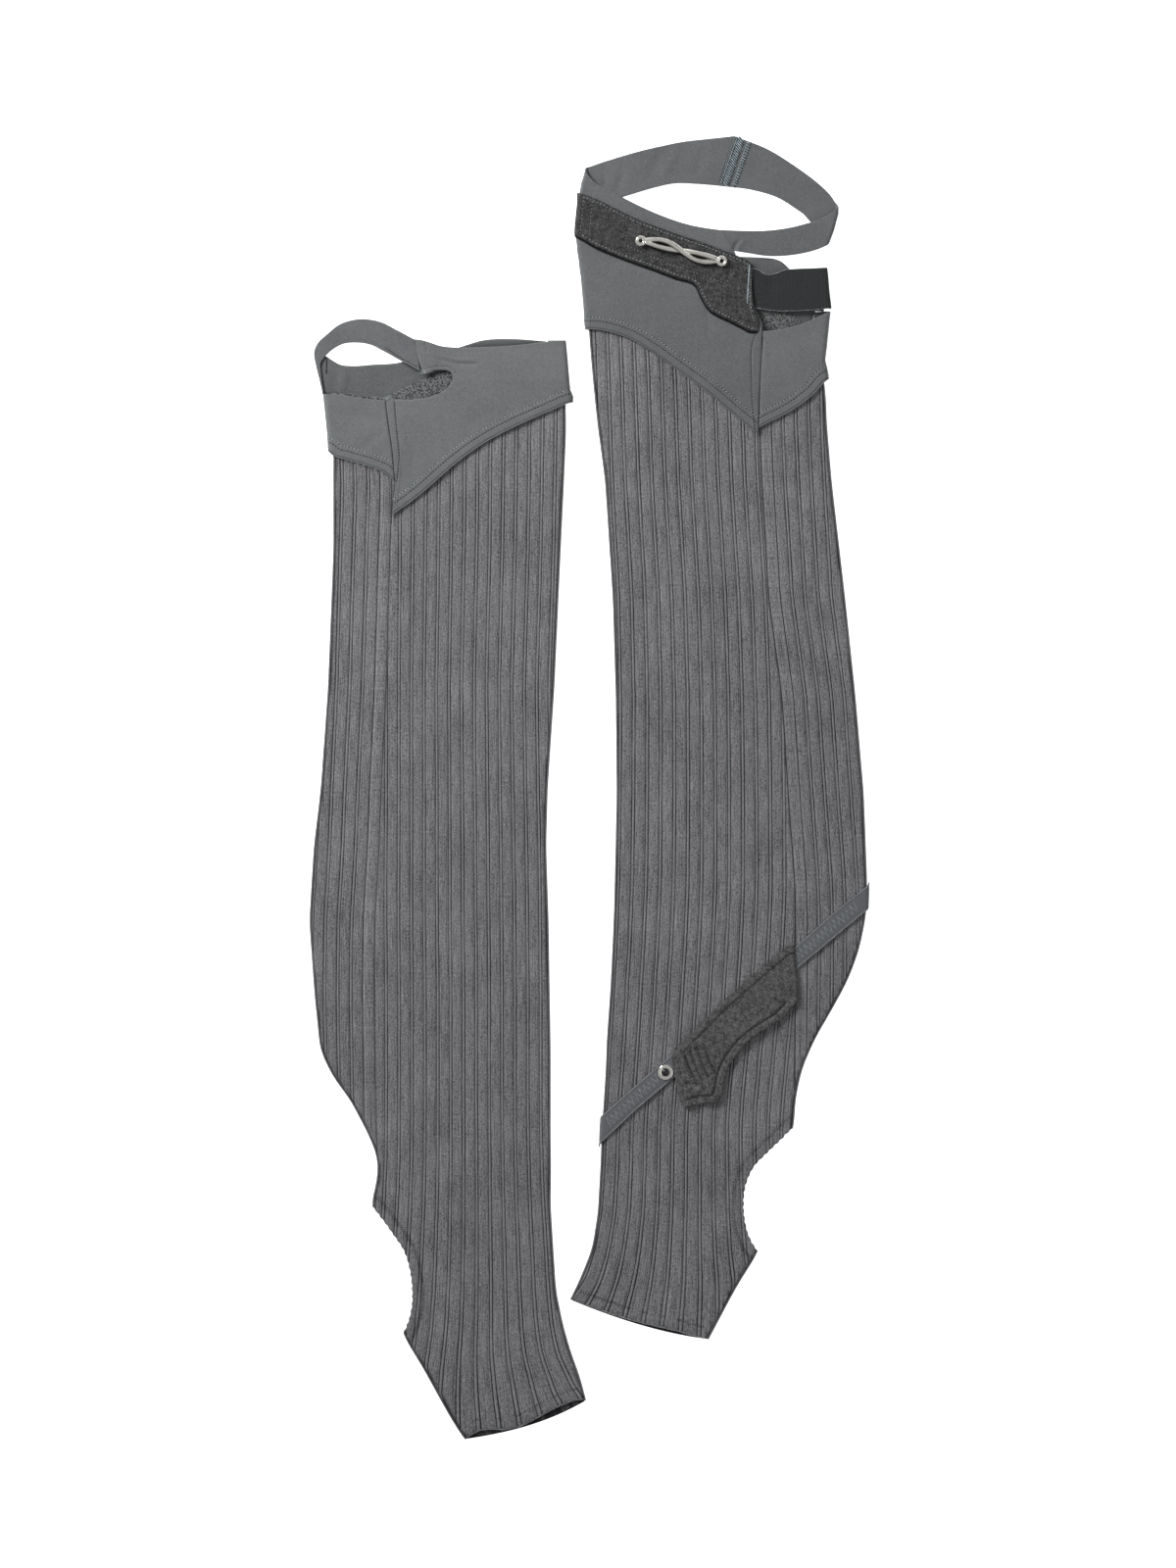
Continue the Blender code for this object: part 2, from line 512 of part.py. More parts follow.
def add_sheet(name, strips, across, surface, material):
    """One flat piece of cloth through strips, with this many steps from edge to edge.
    surface(x, y, face, column) places a point of its outer (face 1) or inner (face 0) side."""
    bm = bmesh.new()
    slot = bm.verts.layers.int.new("slot")
    made = bmesh.ops.create_grid(bm, x_segments=len(strips) - 1, y_segments=across, size=1.0)["verts"]
    for i, vert in enumerate(made):
        vert[slot] = i
    bmesh.ops.extrude_face_region(bm, geom=bm.faces[:], use_keep_orig=True)
    outer = set(made)
    for vert in bm.verts:
        row, column = divmod(vert[slot], len(strips))
        strip = strips[column]
        share = row / across
        x = between(strip.low_x, strip.high_x, share)
        y = between(strip.low_y, strip.high_y, share)
        vert.co = surface(x, y, 1 if vert in outer else 0, column)
    return add_object(name, bm, material)


def on_form(form, inner, thickness):
    """A surface function for cloth of one thickness that lies this far out from a form."""
    middle = inner + thickness / 2

    def surface(x, y, face, _column):
        return form.point(x, y, inner + thickness * face, middle)
    return surface


def past_fold(strip, side, lean=0.0):
    """Strips that carry a piece from its last strip at a fold round to the underside. lean is how
    much its upper edge rises with each millimetre."""
    return [Strip(strip.low_x + side * w, strip.low_y, strip.high_x + side * w, strip.high_y + lean * w)
            for w in FOLD_STEPS]


def make_plate(name, outline, low, thickness, material):
    """A flat piece cut to an outline, lying at one height."""
    bm = bmesh.new()
    face = bm.faces.new([bm.verts.new(place(x, y, low)) for x, y in outline])
    raised = bmesh.ops.extrude_face_region(bm, geom=[face], use_keep_orig=True)["geom"]
    for vert in raised:
        if isinstance(vert, bmesh.types.BMVert):
            vert.co.z += thickness * MM
    bmesh.ops.triangulate(bm, faces=bm.faces[:])
    return add_object(name, bm, material)


def make_cutter(name, outline):
    """A shape that cuts through all the cloth inside an outline, and isn't part of the object."""
    cutter = make_plate(name, smooth_rows(outline), -CUTTER_REACH, 2 * CUTTER_REACH, None)
    cutter.hide_render = True
    cutter.display_type = "WIRE"
    return cutter


def cut_with(item, cutter):
    """Takes a cutter's shape out of a piece."""
    cut = item.modifiers.new("cut", "BOOLEAN")
    cut.operation = "DIFFERENCE"
    cut.solver = "EXACT"
    cut.object = cutter


def make_material(name, colour, roughness, metallic=0.0):
    """A plain finish: its colour, roughness and whether it is metal."""
    material = bpy.data.materials.new(name)
    material.use_nodes = True
    shader = material.node_tree.nodes["Principled BSDF"]
    shader.inputs["Base Color"].default_value = (*colour, 1.0)
    shader.inputs["Roughness"].default_value = roughness
    shader.inputs["Metallic"].default_value = metallic
    return material


def make_left_yoke(jersey, terry):
    """The left yoke: front and side panels that go round the folds, back, loop strap and facing."""
    height = inside_yoke(LEFT_LEVELS)
    form = Form(LEFT_YOKE_LEFT, LEFT_YOKE_RIGHT, lambda y: JERSEY, height)
    surface = on_form(form, 0.0, JERSEY)
    front = smooth_rows(LEFT_YOKE_FRONT) + past_fold(LEFT_YOKE_FRONT[-1], 1)
    panel = add_sheet("left_yoke_front", front, 6, surface, jersey)
    cut_with(panel, make_cutter("left_slit_cut", LEFT_SLIT))
    side = list(reversed(past_fold(LEFT_YOKE_SIDE[0], -1))) + smooth_rows(LEFT_YOKE_SIDE)
    add_sheet("left_yoke_side", side, 3, surface, jersey)
    lifts = smooth_rows(LEFT_LOOP_LIFTS)

    def loop_surface(x, y, face, column):
        return place(x, y, min(height(y), lifts[column].z) + JERSEY * face)
    add_sheet("left_loop_strap", smooth_rows(LEFT_LOOP), 2, loop_surface, jersey)
    make_plate("left_yoke_back", LEFT_YOKE_BACK, 0.0, JERSEY, jersey)
    make_plate("left_yoke_facing", LEFT_FACING, JERSEY + GAP, FACING, terry)


def make_right_yoke(jersey, terry):
    """The right yoke: front and side panels, back, facing and the ring band in two pieces."""
    height = inside_yoke(RIGHT_LEVELS)
    form = Form(RIGHT_YOKE_LEFT, RIGHT_YOKE_RIGHT, lambda y: JERSEY, height)
    surface = on_form(form, 0.0, JERSEY)
    front = list(reversed(past_fold(RIGHT_YOKE_FRONT[0], -1, TOP_LEAN))) + list(RIGHT_YOKE_FRONT)
    add_sheet("right_yoke_front", front, 10, surface, jersey)
    side = smooth_rows(RIGHT_YOKE_SIDE) + past_fold(RIGHT_YOKE_SIDE[-1], 1)
    add_sheet("right_yoke_side", side, 3, surface, jersey)
    make_plate("right_yoke_back", RIGHT_YOKE_BACK, 0.0, JERSEY, jersey)
    make_plate("right_yoke_facing", RIGHT_FACING, JERSEY + GAP, FACING, terry)
    ring = Form(RING_LEFT, RING_RIGHT, lambda y: JERSEY, lambda y: YOKE_TOP_HEIGHT)
    add_sheet("right_ring_front", RIGHT_RING_FRONT, 3, on_form(ring, 0.0, JERSEY), jersey)
    make_plate("right_ring_back", RIGHT_RING_BACK, 0.0, JERSEY, jersey)
    return form


def make_belt(form, suede, elastic, metal):
    """The suede belt on the right yoke, its metal bar, and the elastic that holds its end."""
    add_sheet("right_belt", smooth_rows(BELT), 4, on_form(form, JERSEY + GAP, SUEDE), suede)
    add_sheet("right_elastic", ELASTIC_BAND, 2, on_form(form, 0.0, ELASTIC), elastic)
    lowest = min(row.y - row.width / 2 for row in BAR + PRONG)
    on_belt = form.high(lowest) + JERSEY + GAP + SUEDE + GAP
    bar = make_bar("right_belt_bar", BAR, on_belt, metal)
    prong = make_bar("right_belt_bar_prong", PRONG, on_belt, metal)
    prong.hide_render = True
    prong.display_type = "WIRE"
    join = bar.modifiers.new("join", "BOOLEAN")
    join.operation = "UNION"
    join.solver = "EXACT"
    join.object = prong


def make_bar(name, table, low, material):
    """A tapering bar with a rounded top and a flat underside, through the rows of a table."""
    rows = smooth_rows(table, steps=3)
    bm = bmesh.new()
    loops = []
    for i, row in enumerate(rows):
        ahead, behind = rows[min(i + 1, len(rows) - 1)], rows[max(i - 1, 0)]
        run = Vector((ahead.x - behind.x, ahead.y - behind.y)).normalized()
        loop = []
        for k in range(BAR_SIDES):
            turn = math.pi * k / (BAR_SIDES - 1)
            off = row.width / 2 * math.cos(turn)
            loop.append(bm.verts.new(place(row.x - run.y * off, row.y + run.x * off,
                                           low + row.height * math.sin(turn))))
        loops.append(loop)
    for loop in (loops[0], loops[-1]):
        bm.faces.new(loop)
    for one, two in zip(loops, loops[1:]):
        for k in range(BAR_SIDES):
            bm.faces.new((one[k - 1], one[k], two[k], two[k - 1]))
    return add_object(name, bm, material)


def make_calf_strap(levels, elastic, suede, metal, stud_finish):
    """The strap that crosses the right calf, its suede patch and its snap."""
    over = over_knit(levels)
    form = Form([Fold(r.left_y, r.left_x - STRAP_ROOM) for r in RIGHT_RINGS],
                [Fold(r.right_y, r.right_x + STRAP_ROOM) for r in RIGHT_RINGS], lambda y: 0.0, over)
    strap = on_form(form, 0.0, ELASTIC)
    add_sheet("calf_strap_upper", CALF_STRAP_UPPER, 1, strap, elastic)
    add_sheet("calf_strap_lower", CALF_STRAP_LOWER, 1, strap, elastic)
    patch = on_form(form, ELASTIC + GAP, SUEDE)
    add_sheet("calf_patch", smooth_rows(CALF_PATCH), 2, patch, suede)
    low = over(SNAP_CENTRE.y) + ELASTIC + GAP
    make_turned("calf_snap_washer", SNAP_WASHER, low, metal)
    make_turned("calf_snap_stud", SNAP_STUD, low, stud_finish)


def make_turned(name, profile, low, material):
    """A round piece turned about the snap's axis from a profile of radius and height."""
    centre = place(SNAP_CENTRE.x, SNAP_CENTRE.y, low)
    bm = bmesh.new()
    verts = [bm.verts.new(centre + Vector((p.radius * MM, 0.0, p.height * MM))) for p in profile]
    edges = [bm.edges.new(pair) for pair in zip(verts, verts[1:])]
    if profile[0].radius > 0:
        edges.append(bm.edges.new((verts[-1], verts[0])))
    bmesh.ops.spin(bm, geom=verts + edges, cent=centre, axis=(0, 0, 1), angle=math.tau,
                   steps=SNAP_SEGMENTS, use_merge=True)
    bmesh.ops.remove_doubles(bm, verts=bm.verts, dist=WELD)
    return add_object(name, bm, material)


def main():
    """Builds the pair."""
    for item in list(bpy.data.objects):
        bpy.data.objects.remove(item)
    knit = make_material("ribbed_knit", (0.128, 0.128, 0.136), 0.95)
    jersey = make_material("plain_jersey", (0.146, 0.152, 0.155), 0.9)
    terry = make_material("knit_wrong_side", (0.11, 0.115, 0.118), 1.0)
    suede = make_material("suede", (0.062, 0.060, 0.058), 1.0)
    band = make_material("black_elastic", (0.026, 0.030, 0.032), 0.85)
    tape = make_material("grey_elastic", (0.10, 0.105, 0.112), 0.85)
    silver = make_material("cast_silver", (0.62, 0.60, 0.57), 0.28, 1.0)
    dark = make_material("dark_stud", (0.03, 0.03, 0.032), 0.35, 1.0)
    make_leg("left_leg_knit", LEFT_RINGS, LEFT_LEVELS, LEFT_REPEATS, -1, LEFT_HEEL, knit)
    make_leg("right_leg_knit", RIGHT_RINGS, RIGHT_LEVELS, RIGHT_REPEATS, 1, RIGHT_HEEL, knit)
    make_left_yoke(jersey, terry)
    form = make_right_yoke(jersey, terry)
    make_belt(form, suede, band, silver)
    make_calf_strap(RIGHT_LEVELS, tape, suede, silver, dark)


main()
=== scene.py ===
"""Looks of a pair of thigh-high stirrup leg warmers, laid flat side by side.

Each cloth piece is a thin shell on the form of its solid, with its sewing on it. Tables and sizes are
in millimetres: +X to the right, +Y towards the tops of the legs, +Z up from the floor.
"""

import logging
import math
from dataclasses import dataclass, field
from enum import Enum
from typing import Callable, NamedTuple, Optional, Sequence, Union

import bmesh
import bpy
import numpy as np
from mathutils import Matrix, Vector


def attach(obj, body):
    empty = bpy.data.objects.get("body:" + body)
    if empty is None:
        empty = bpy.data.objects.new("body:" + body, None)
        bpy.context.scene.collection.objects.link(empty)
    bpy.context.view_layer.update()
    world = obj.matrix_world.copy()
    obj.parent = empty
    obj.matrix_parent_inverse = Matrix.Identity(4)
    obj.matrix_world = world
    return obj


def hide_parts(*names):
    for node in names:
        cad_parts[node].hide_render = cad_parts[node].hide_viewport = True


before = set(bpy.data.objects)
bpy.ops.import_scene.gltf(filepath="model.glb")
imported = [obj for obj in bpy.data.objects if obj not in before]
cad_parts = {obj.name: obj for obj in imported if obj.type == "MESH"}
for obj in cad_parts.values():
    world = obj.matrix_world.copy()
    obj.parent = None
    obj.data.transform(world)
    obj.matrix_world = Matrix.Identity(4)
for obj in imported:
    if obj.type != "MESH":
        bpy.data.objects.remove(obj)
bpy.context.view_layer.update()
log = logging.getLogger("leg_warmers")

Array = np.ndarray
Heights = Callable[[Array], Array]
Lay = Callable[[Array, Array], Array]
Colour = tuple[float, float, float]
Points = tuple[tuple[float, float], ...]
Rows = tuple[tuple[float, ...], ...]      # strips across a flat piece: lower edge x, y and upper edge x, y
Material = bpy.types.Material
Mesh = bmesh.types.BMesh
Piece = bpy.types.Object
Socket = bpy.types.NodeSocket

MM = 0.001
MIDDLE_X = 0.55
MIDDLE_Y = 0.4
BODY = "root"

# Cloth thicknesses and clearances, as in the solids
GAP = 0.3
KNIT_WALL = 1.2
KNIT_HOLLOW = 0.5
KNIT_HEIGHT = 2 * KNIT_WALL + KNIT_HOLLOW
RIB = 0.6
JERSEY = 1.3
ELASTIC = 1.0
STRAP_ROOM = 0.7
SUEDE = 1.5
TOP_SUEDE = 0.84          # the belt's outer layer
BACKING = 0.62            # the layer under it
FACING = 1.0
LIFT = JERSEY + GAP
YOKE_TOP_HEIGHT = 3.2

EDGE_STEPS = (0.0, 0.12, 0.38, 0.75, 1.1, 1.5)   # distances from an edge where a shell has its first points
FINE = 0.5                                  # from one point to the next where a panel is sewn
HEM_ZONE = 15.0                             # how far in from a hem it is sewn
EDGE_ROUND = 0.62                           # how far in an edge rounds over
EDGE_LEAST = 0.22                           # share of the thickness left at the very edge


class Ring(NamedTuple):
    """A ring of a leg, from its left to its right fold, with its seam and its outermost thin ribs."""

    left_x: float
    left_y: float
    right_x: float
    right_y: float
    seam: float
    first: float
    last: float


class Fold(NamedTuple):
    """Where a fold is at one height."""

    y: float
    x: float


class Levels(NamedTuple):
    """Heights where the knit lifts onto a yoke's back and where the front jersey sinks."""

    knit_low: float
    knit_lifted: float
    jersey_high: float
    jersey_sunk: float


class Crease(NamedTuple):
    """A soft trough or ridge: its ends, the bow of its middle to its left, its width and height."""

    x0: float
    y0: float
    x1: float
    y1: float
    bow: float
    width: float
    height: float


Folds = tuple[Fold, ...]
Creases = tuple[Crease, ...]


class Turned(NamedTuple):
    """A point of a turned profile."""

    radius: float
    height: float


class Gap(NamedTuple):
    """How far a foot's front hem stands back from its back hem, at one place across it."""

    x: float
    depth: float


def rows_of(kind: type, *rows: tuple[float, ...]) -> tuple:
    """A table whose rows are of a kind with named columns."""
    return tuple(kind(*row) for row in rows)


class Keep(Enum):
    """Which side of an outline a cut leaves."""

    INSIDE = 1
    OUTSIDE = 0


class Cut(Enum):
    """How a piece's flat cut is measured."""

    PANEL = "panel"
    BAND = "band"


class Grain(Enum):
    """Small forms that sewing and nap are made of."""

    STITCH = "stitch"
    LOOP = "loop"
    HAIR = "hair"


LEFT_LEVELS = Levels(175.2, 242.9, 299.0, 323.0)
RIGHT_LEVELS = Levels(225.6, 296.1, 351.0, 388.0)

LEFT_RINGS = rows_of(Ring,
    (-188.3, 261.6, -16.9, 296.1, -145.8, -177.5, -24.1),
    (-187.6, 242.9, -16.3, 261.6, -145.1, -176.8, -24.1),
    (-187.6, 218.4, -18.2, 218.4, -144.4, -176, -24.8),
    (-187.6, 175.2, -20.3, 175.2, -145.8, -176, -25.6),
    (-191.5, 74.4, -24.9, 74.4, -148.7, -176, -28.8),
    (-196.9, -1.2, -29.9, -1.2, -152.3, -176.4, -27.7),
    (-202, -44, -31, -44, -153.9, -177, -26.7),
    (-205.3, -98.4, -29.2, -98.4, -157, -177.5, -25.9),
    (-201.6, -150.3, -28.4, -150.3, -157.6, -176.8, -25.6),
    (-197.3, -193.5, -27.7, -193.5, -157, -176.8, -25.6),
    (-187, -214.3, -27.7, -214.3, -156.6, -176.8, -25.6),
    (-176, -228, -27.7, -228, -156.6, -176.8, -25.6),
    (-160.9, -256.8, -27.7, -256.8, -155.9, -177.1, -25.2),
    (-154.7, -273.4, -27.4, -273.4, -154.7, -177.5, -24.8),
    (-155.6, -289, -27.5, -289, -155.6, -178.4, -24.2),
    (-160, -306.5, -27.7, -306.5, -160, -179.6, -23.4),
    (-153, -336, -26.3, -330.3, -153, -182.5, -21.6),
    (-144.4, -370.6, -23.8, -369.1, -144.4, -186.8, -19.1),
    (-136.2, -403, -18.9, -393.6, -136.2, -193.3, -16.2),
    (-122.8, -424.6, -13.2, -413.8, -122.8, -203.4, -11.2),
    (-107.7, -452.1, -6.1, -433.2, -107.7, -219.2, -0.4),
    (-97.2, -470.6, -2.9, -445.5, -97.2, -227.5, 6.9),
    (-91, -478.9, -1.6, -450.3, -90.8, -230.8, 9.7),
)
RIGHT_RINGS = rows_of(Ring,
    (-0.4, 348, 170.6, 317.7, 124.2, 13.3, 149.4),
    (0.4, 330, 173.4, 296.1, 124.9, 14, 150.1),
    (2.5, 304.8, 174.6, 283.2, 125.3, 14.8, 151.6),
    (6.1, 268.8, 175, 268.8, 125.6, 15.8, 152.3),
    (11.9, 225.6, 178.6, 225.6, 127.4, 17.3, 153.7),
    (17.6, 139.2, 188.6, 139.2, 132.5, 22, 159.5),
    (19.8, 67.2, 196.2, 67.2, 142.2, 23.4, 162.4),
    (20.5, -4.8, 202.3, -4.8, 146.9, 23, 163.8),
    (19.1, -69.6, 204.8, -69.6, 151.6, 22, 164.5),
    (18.4, -94.8, 204, -94.8, 152.3, 20.9, 163.8),
    (17.3, -120, 198.8, -120, 152.3, 19.8, 162.4),
    (16.2, -141.6, 190.7, -141.6, 152.3, 18.4, 160.9),
    (15.1, -159.6, 181, -159.6, 151.9, 17.6, 159.5),
    (13.3, -184.8, 166.4, -184.8, 151.9, 16.2, 157.3),
    (12.6, -206.4, 157, -206.4, 151.6, 14.8, 155.2),
    (11.2, -228, 152.3, -228, 152.3, 13.3, 153),
    (9.7, -250.3, 150.8, -250.3, 150.8, 11.9, 151.6),
    (8.6, -278.4, 142.9, -278.4, 142.9, 11.2, 152.3),
    (6.8, -311.5, 133.6, -311.5, 133.6, 9, 154.4),
    (2.5, -338.9, 124.7, -341.8, 124.7, 4, 159.5),
    (-6.1, -360.5, 109.1, -366.3, 109.1, -3.2, 168.1),
    (-13.7, -376.3, 88.4, -405.5, 88.4, -14.8, 176.8),
)

LEFT_HEEL = (
    (-175.7, -302.1), (-160.5, -307), (-151.3, -317.5), (-143.9, -327.8), (-135.1, -341.6), (-131.4, -354.2),
    (-129.6, -369), (-129.9, -381.2), (-132.8, -393.2), (-137.1, -401.7), (-150.7, -407.1),
)
RIGHT_HEEL = (
    (164.8, -246.1), (150.6, -250.2), (141.3, -258.8), (130.8, -268.9), (121.8, -278.2), (117.5, -286.2),
    (114.6, -296.2), (113.9, -307), (115.4, -321.4), (119, -332.2), (124.7, -340.7), (139.8, -346.1),
)
LEFT_GAPS = rows_of(Gap,
    (-92, 0.3), (-87, 2.4), (-80, 5), (-72, 4.4), (-62, 2), (-50, 1.4), (-42, 3), (-30, 5.4), (-20, 6.2),
    (-10, 5), (-2.5, 1.6),
)
RIGHT_GAPS = rows_of(Gap,
    (-13, 0.4), (0, 1.2), (30, 1.6), (50, 2.4), (66, 2.6), (80, 0.8), (88, 0.3),
)
LEFT_CREASES = rows_of(Crease,
    (-100, 150, -104, -60, 2, 7, -0.4), (-60, 60, -64, -160, -2, 8, -0.35),
)
RIGHT_CREASES = rows_of(Crease,
    (48, 200, 44, -40, 2, 7, -0.35), (42, -60, 30, -230, -2, 5, -0.4),
)


def metres(points: Array) -> Array:
    """Points of the tables in millimetres, as metres from the origin."""
    return (points - np.array([MIDDLE_X, MIDDLE_Y, 0.0])) * MM


def smooth_step(values: Array, low: float, high: float) -> Array:
    """0 below low, 1 above high and an even rise between them."""
    share = np.clip((values - low) / (high - low), 0.0, 1.0)
    return share * share * (3.0 - 2.0 * share)


def knit_rise(levels: Levels) -> Heights:
    """Height of a leg's underside over the floor, at heights y."""
    span = levels.knit_lifted - levels.knit_low
    return lambda y: LIFT * np.clip((y - levels.knit_low) / span, 0.0, 1.0)


def over_knit(levels: Levels) -> Heights:
    """Height just above the ribs, where what covers the knit lies."""
    rise = knit_rise(levels)
    return lambda y: rise(y) + KNIT_HEIGHT + 0.7 + GAP


def inside_yoke(levels: Levels) -> Heights:
    """Height of the inside of a yoke's front: over the ribs, then sinking towards its top.

    Args:
        levels: where the knit lifts and the jersey sinks.

    Returns:
        The height at heights y.
    """
    over = over_knit(levels)

    def height(y: Array) -> Array:
        """The height at heights y."""
        sunk = np.clip((y - levels.jersey_high) / (levels.jersey_sunk - levels.jersey_high), 0.0, 1.0)
        return over(y) + (YOKE_TOP_HEIGHT - over(y)) * sunk
    return height


class Curve:
    """A smooth curve through the rows of a table, at given places along it."""

    def __init__(self, rows: Array, places: Array) -> None:
        """Works out the curve's slopes at its rows.

        Args:
            rows: the table, a row for each place.
            places: how far along the curve each row is.
        """
        self.rows = np.asarray(rows, float)
        self.places = np.asarray(places, float)
        gaps = np.diff(self.places)[:, None]
        slopes = np.diff(self.rows, axis=0) / gaps
        inner = (gaps[1:] * slopes[:-1] + gaps[:-1] * slopes[1:]) / (gaps[:-1] + gaps[1:])
        self.slopes = np.vstack([slopes[:1], inner, slopes[-1:]])

    @property
    def length(self) -> float:
        """How long the curve is."""
        return float(self.places[-1])

    def at(self, where: Array) -> Array:
        """Rows of the curve at places along it.

        Args:
            where: the places.

        Returns:
            A row for each of them.
        """
        i = np.clip(np.searchsorted(self.places, where, side="right") - 1, 0, len(self.places) - 2)
        gap = (self.places[i + 1] - self.places[i])[:, None]
        t = (np.asarray(where) - self.places[i])[:, None] / gap
        start, end = self.rows[i], self.rows[i + 1]
        leave, reach = self.slopes[i] * gap, self.slopes[i + 1] * gap
        return (start * (2 * t**3 - 3 * t**2 + 1) + leave * (t**3 - 2 * t**2 + t)
                + end * (3 * t**2 - 2 * t**3) + reach * (t**3 - t**2))

    @classmethod
    def through(cls, points: Sequence[Sequence[float]]) -> "Curve":
        """The curve through points, measured along the straight lines between them.

        Args:
            points: the points; the first two columns are places.

        Returns:
            The curve.
        """
        rows = np.asarray(points, float)
        steps = np.linalg.norm(np.diff(rows[:, :2], axis=0), axis=1)
        return cls(rows, np.concatenate([[0.0], np.cumsum(steps)]))

    def path(self, spacing: float) -> Array:
        """Evenly spaced points of the curve, from its start to its end."""
        return self.at(np.linspace(0.0, self.length, max(int(self.length / spacing), 1) + 1))


def arc(*points: tuple[float, float], spacing: float = 1.5) -> Array:
    """Points of a smooth curve through the given ones."""
    return Curve.through(points).path(spacing)


def unit(rows: Array) -> Array:
    """Rows at a length of 1."""
    return rows / np.linalg.norm(rows, axis=1)[:, None]


def leftward(ahead: Array) -> Array:
    """Flat directions turned to their left."""
    return np.stack([-ahead[:, 1], ahead[:, 0]], axis=1)


def beside(path: Array, distance: float) -> Array:
    """A path moved to its left by a distance, or to its right by one below 0."""
    return path + distance * leftward(unit(np.gradient(path, axis=0)))


def resample(path: Array, count: int) -> Array:
    """This many evenly spaced points of a path."""
    curve = Curve.through(path)
    return curve.at(np.linspace(0.0, curve.length, count))


def distance_to(flat: Array, path: Array) -> Array:
    """How far points are from a path.

    Args:
        flat: the points; their first two columns are used.
        path: the path's points.

    Returns:
        A distance for each point.
    """
    best = np.full(len(flat), np.inf)
    for a, b in zip(path[:, :2], path[1:, :2]):
        run = b - a
        size = run @ run
        if size == 0:
            continue
        rel = flat[:, :2] - a
        t = np.clip(rel @ run / size, 0.0, 1.0)
        best = np.minimum(best, np.hypot(rel[:, 0] - t * run[0], rel[:, 1] - t * run[1]))
    return best


def near_edge(sewn: float) -> Array:
    """Distances of a shell's points from an edge, close together as far in as it is sewn."""
    steps = np.array(EDGE_STEPS)
    return np.concatenate([steps, np.arange(steps[-1] + FINE, sewn, FINE)])


def spread(size: float, start: Array, end: Array, count: int) -> Array:
    """Places across a piece of cloth.

    Args:
        size: how far it is across.
        start: distances of the first places from its start.
        end: distances of the last places from its end.
        count: how many steps there are between them.

    Returns:
        The places, from its start to its end.
    """
    tight = min(1.0, 0.8 * size / (start[-1] + end[-1]))
    start, end = start * tight, size - end[::-1] * tight
    return np.concatenate([start, np.linspace(start[-1], end[0], count + 1)[1:-1], end])


def is_inside(flat: Array, outline: Array) -> Array:
    """Which points lie inside an outline.

    Args:
        flat: the points.
        outline: the outline's points.

    Returns:
        True or false for each point.
    """
    found = np.zeros(len(flat), bool)
    for a, b in zip(outline, np.roll(outline, -1, axis=0)):
        crosses = (a[1] > flat[:, 1]) != (b[1] > flat[:, 1])
        if a[1] != b[1]:
            found ^= crosses & (flat[:, 0] < a[0] + (flat[:, 1] - a[1]) * (b[0] - a[0]) / (b[1] - a[1]))
    return found


def cut_along(bm: Mesh, outline: Array, keep: Keep, reach: float) -> None:
    """Cuts a mesh straight down along an outline and takes one side of it away.

    Args:
        bm: the mesh, in millimetres.
        outline: the outline's points.
        keep: the side that stays.
        reach: the size of the mesh's largest faces.
    """
    for a, b in zip(outline, np.roll(outline, -1, axis=0)):
        low, high = np.minimum(a, b) - reach, np.maximum(a, b) + reach
        faces = []
        for face in bm.faces:
            x, y, _ = face.verts[0].co
            if low[0] < x < high[0] and low[1] < y < high[1]:
                faces.append(face)
        near = faces + list({edge for face in faces for edge in face.edges})
        near += list({vert for face in faces for vert in face.verts})
        bmesh.ops.bisect_plane(bm, geom=near, dist=0.01, plane_co=(a[0], a[1], 0.0),
                               plane_no=(b[1] - a[1], a[0] - b[0], 0.0))
    centres = np.array([face.calc_center_median()[:2] for face in bm.faces])
    within = is_inside(centres, outline)
    lost = [face for face, inside in zip(bm.faces, within) if bool(inside) != bool(keep.value)]
    bmesh.ops.delete(bm, geom=lost, context="FACES")


@dataclass(frozen=True)
class Form:
    """A flattened tube that cloth lies round: its two folds, its underside and its top."""

    left: Folds
    right: Folds
    low: Heights
    high: Heights

    def points(self, flat: Array, out: Array, middle: float) -> Array:
        """Points a distance out from the form.

        Args:
            flat: places on the cloth: x on the front, going on as length round a fold, and y.
            out: how far out each is.
            middle: how far out the middle of the cloth is.

        Returns:
            The points in millimetres.
        """
        along, y = flat[:, 0], flat[:, 1]
        low, high = self.low(y), self.high(y)
        radius = (high - low) / 2
        start = self.fold(self.left, y) + radius
        end = self.fold(self.right, y) - radius
        side = np.where(along > end, 1.0, -1.0)
        corner = np.where(along > end, end, start)
        past = np.maximum(np.maximum(start - along, along - end), 0.0)
        bend = radius + middle
        turn = np.minimum(past / bend, math.pi)
        beyond = np.maximum(past - math.pi * bend, 0.0)
        reach = radius + out
        x = np.where(past > 0.0, corner + side * (reach * np.sin(turn) - beyond), along)
        return np.stack([x, y, np.maximum(low + radius + reach * np.cos(turn), 0.0)], axis=1)

    @staticmethod
    def fold(folds: Folds, y: Array) -> Array:
        """The x of a fold at heights y."""
        rows = np.array(sorted(folds))
        return np.interp(y, rows[:, 0], rows[:, 1])

    def layer(self, inner: float, thickness: float) -> Lay:
        """Lays cloth of one thickness this far out from the form."""
        middle = inner + thickness / 2
        return lambda flat, out: self.points(flat, inner + out, middle)


def level(height: float) -> Heights:
    """One height at all heights y."""
    return lambda y: np.full(np.shape(y), height)


def plate(low: float) -> Lay:
    """Lays cloth flat at one height."""
    return lambda flat, out: np.stack([flat[:, 0], flat[:, 1], np.maximum(low + out, 0.0)], axis=1)


# ------------------------------------------------------------------------------ shader kit


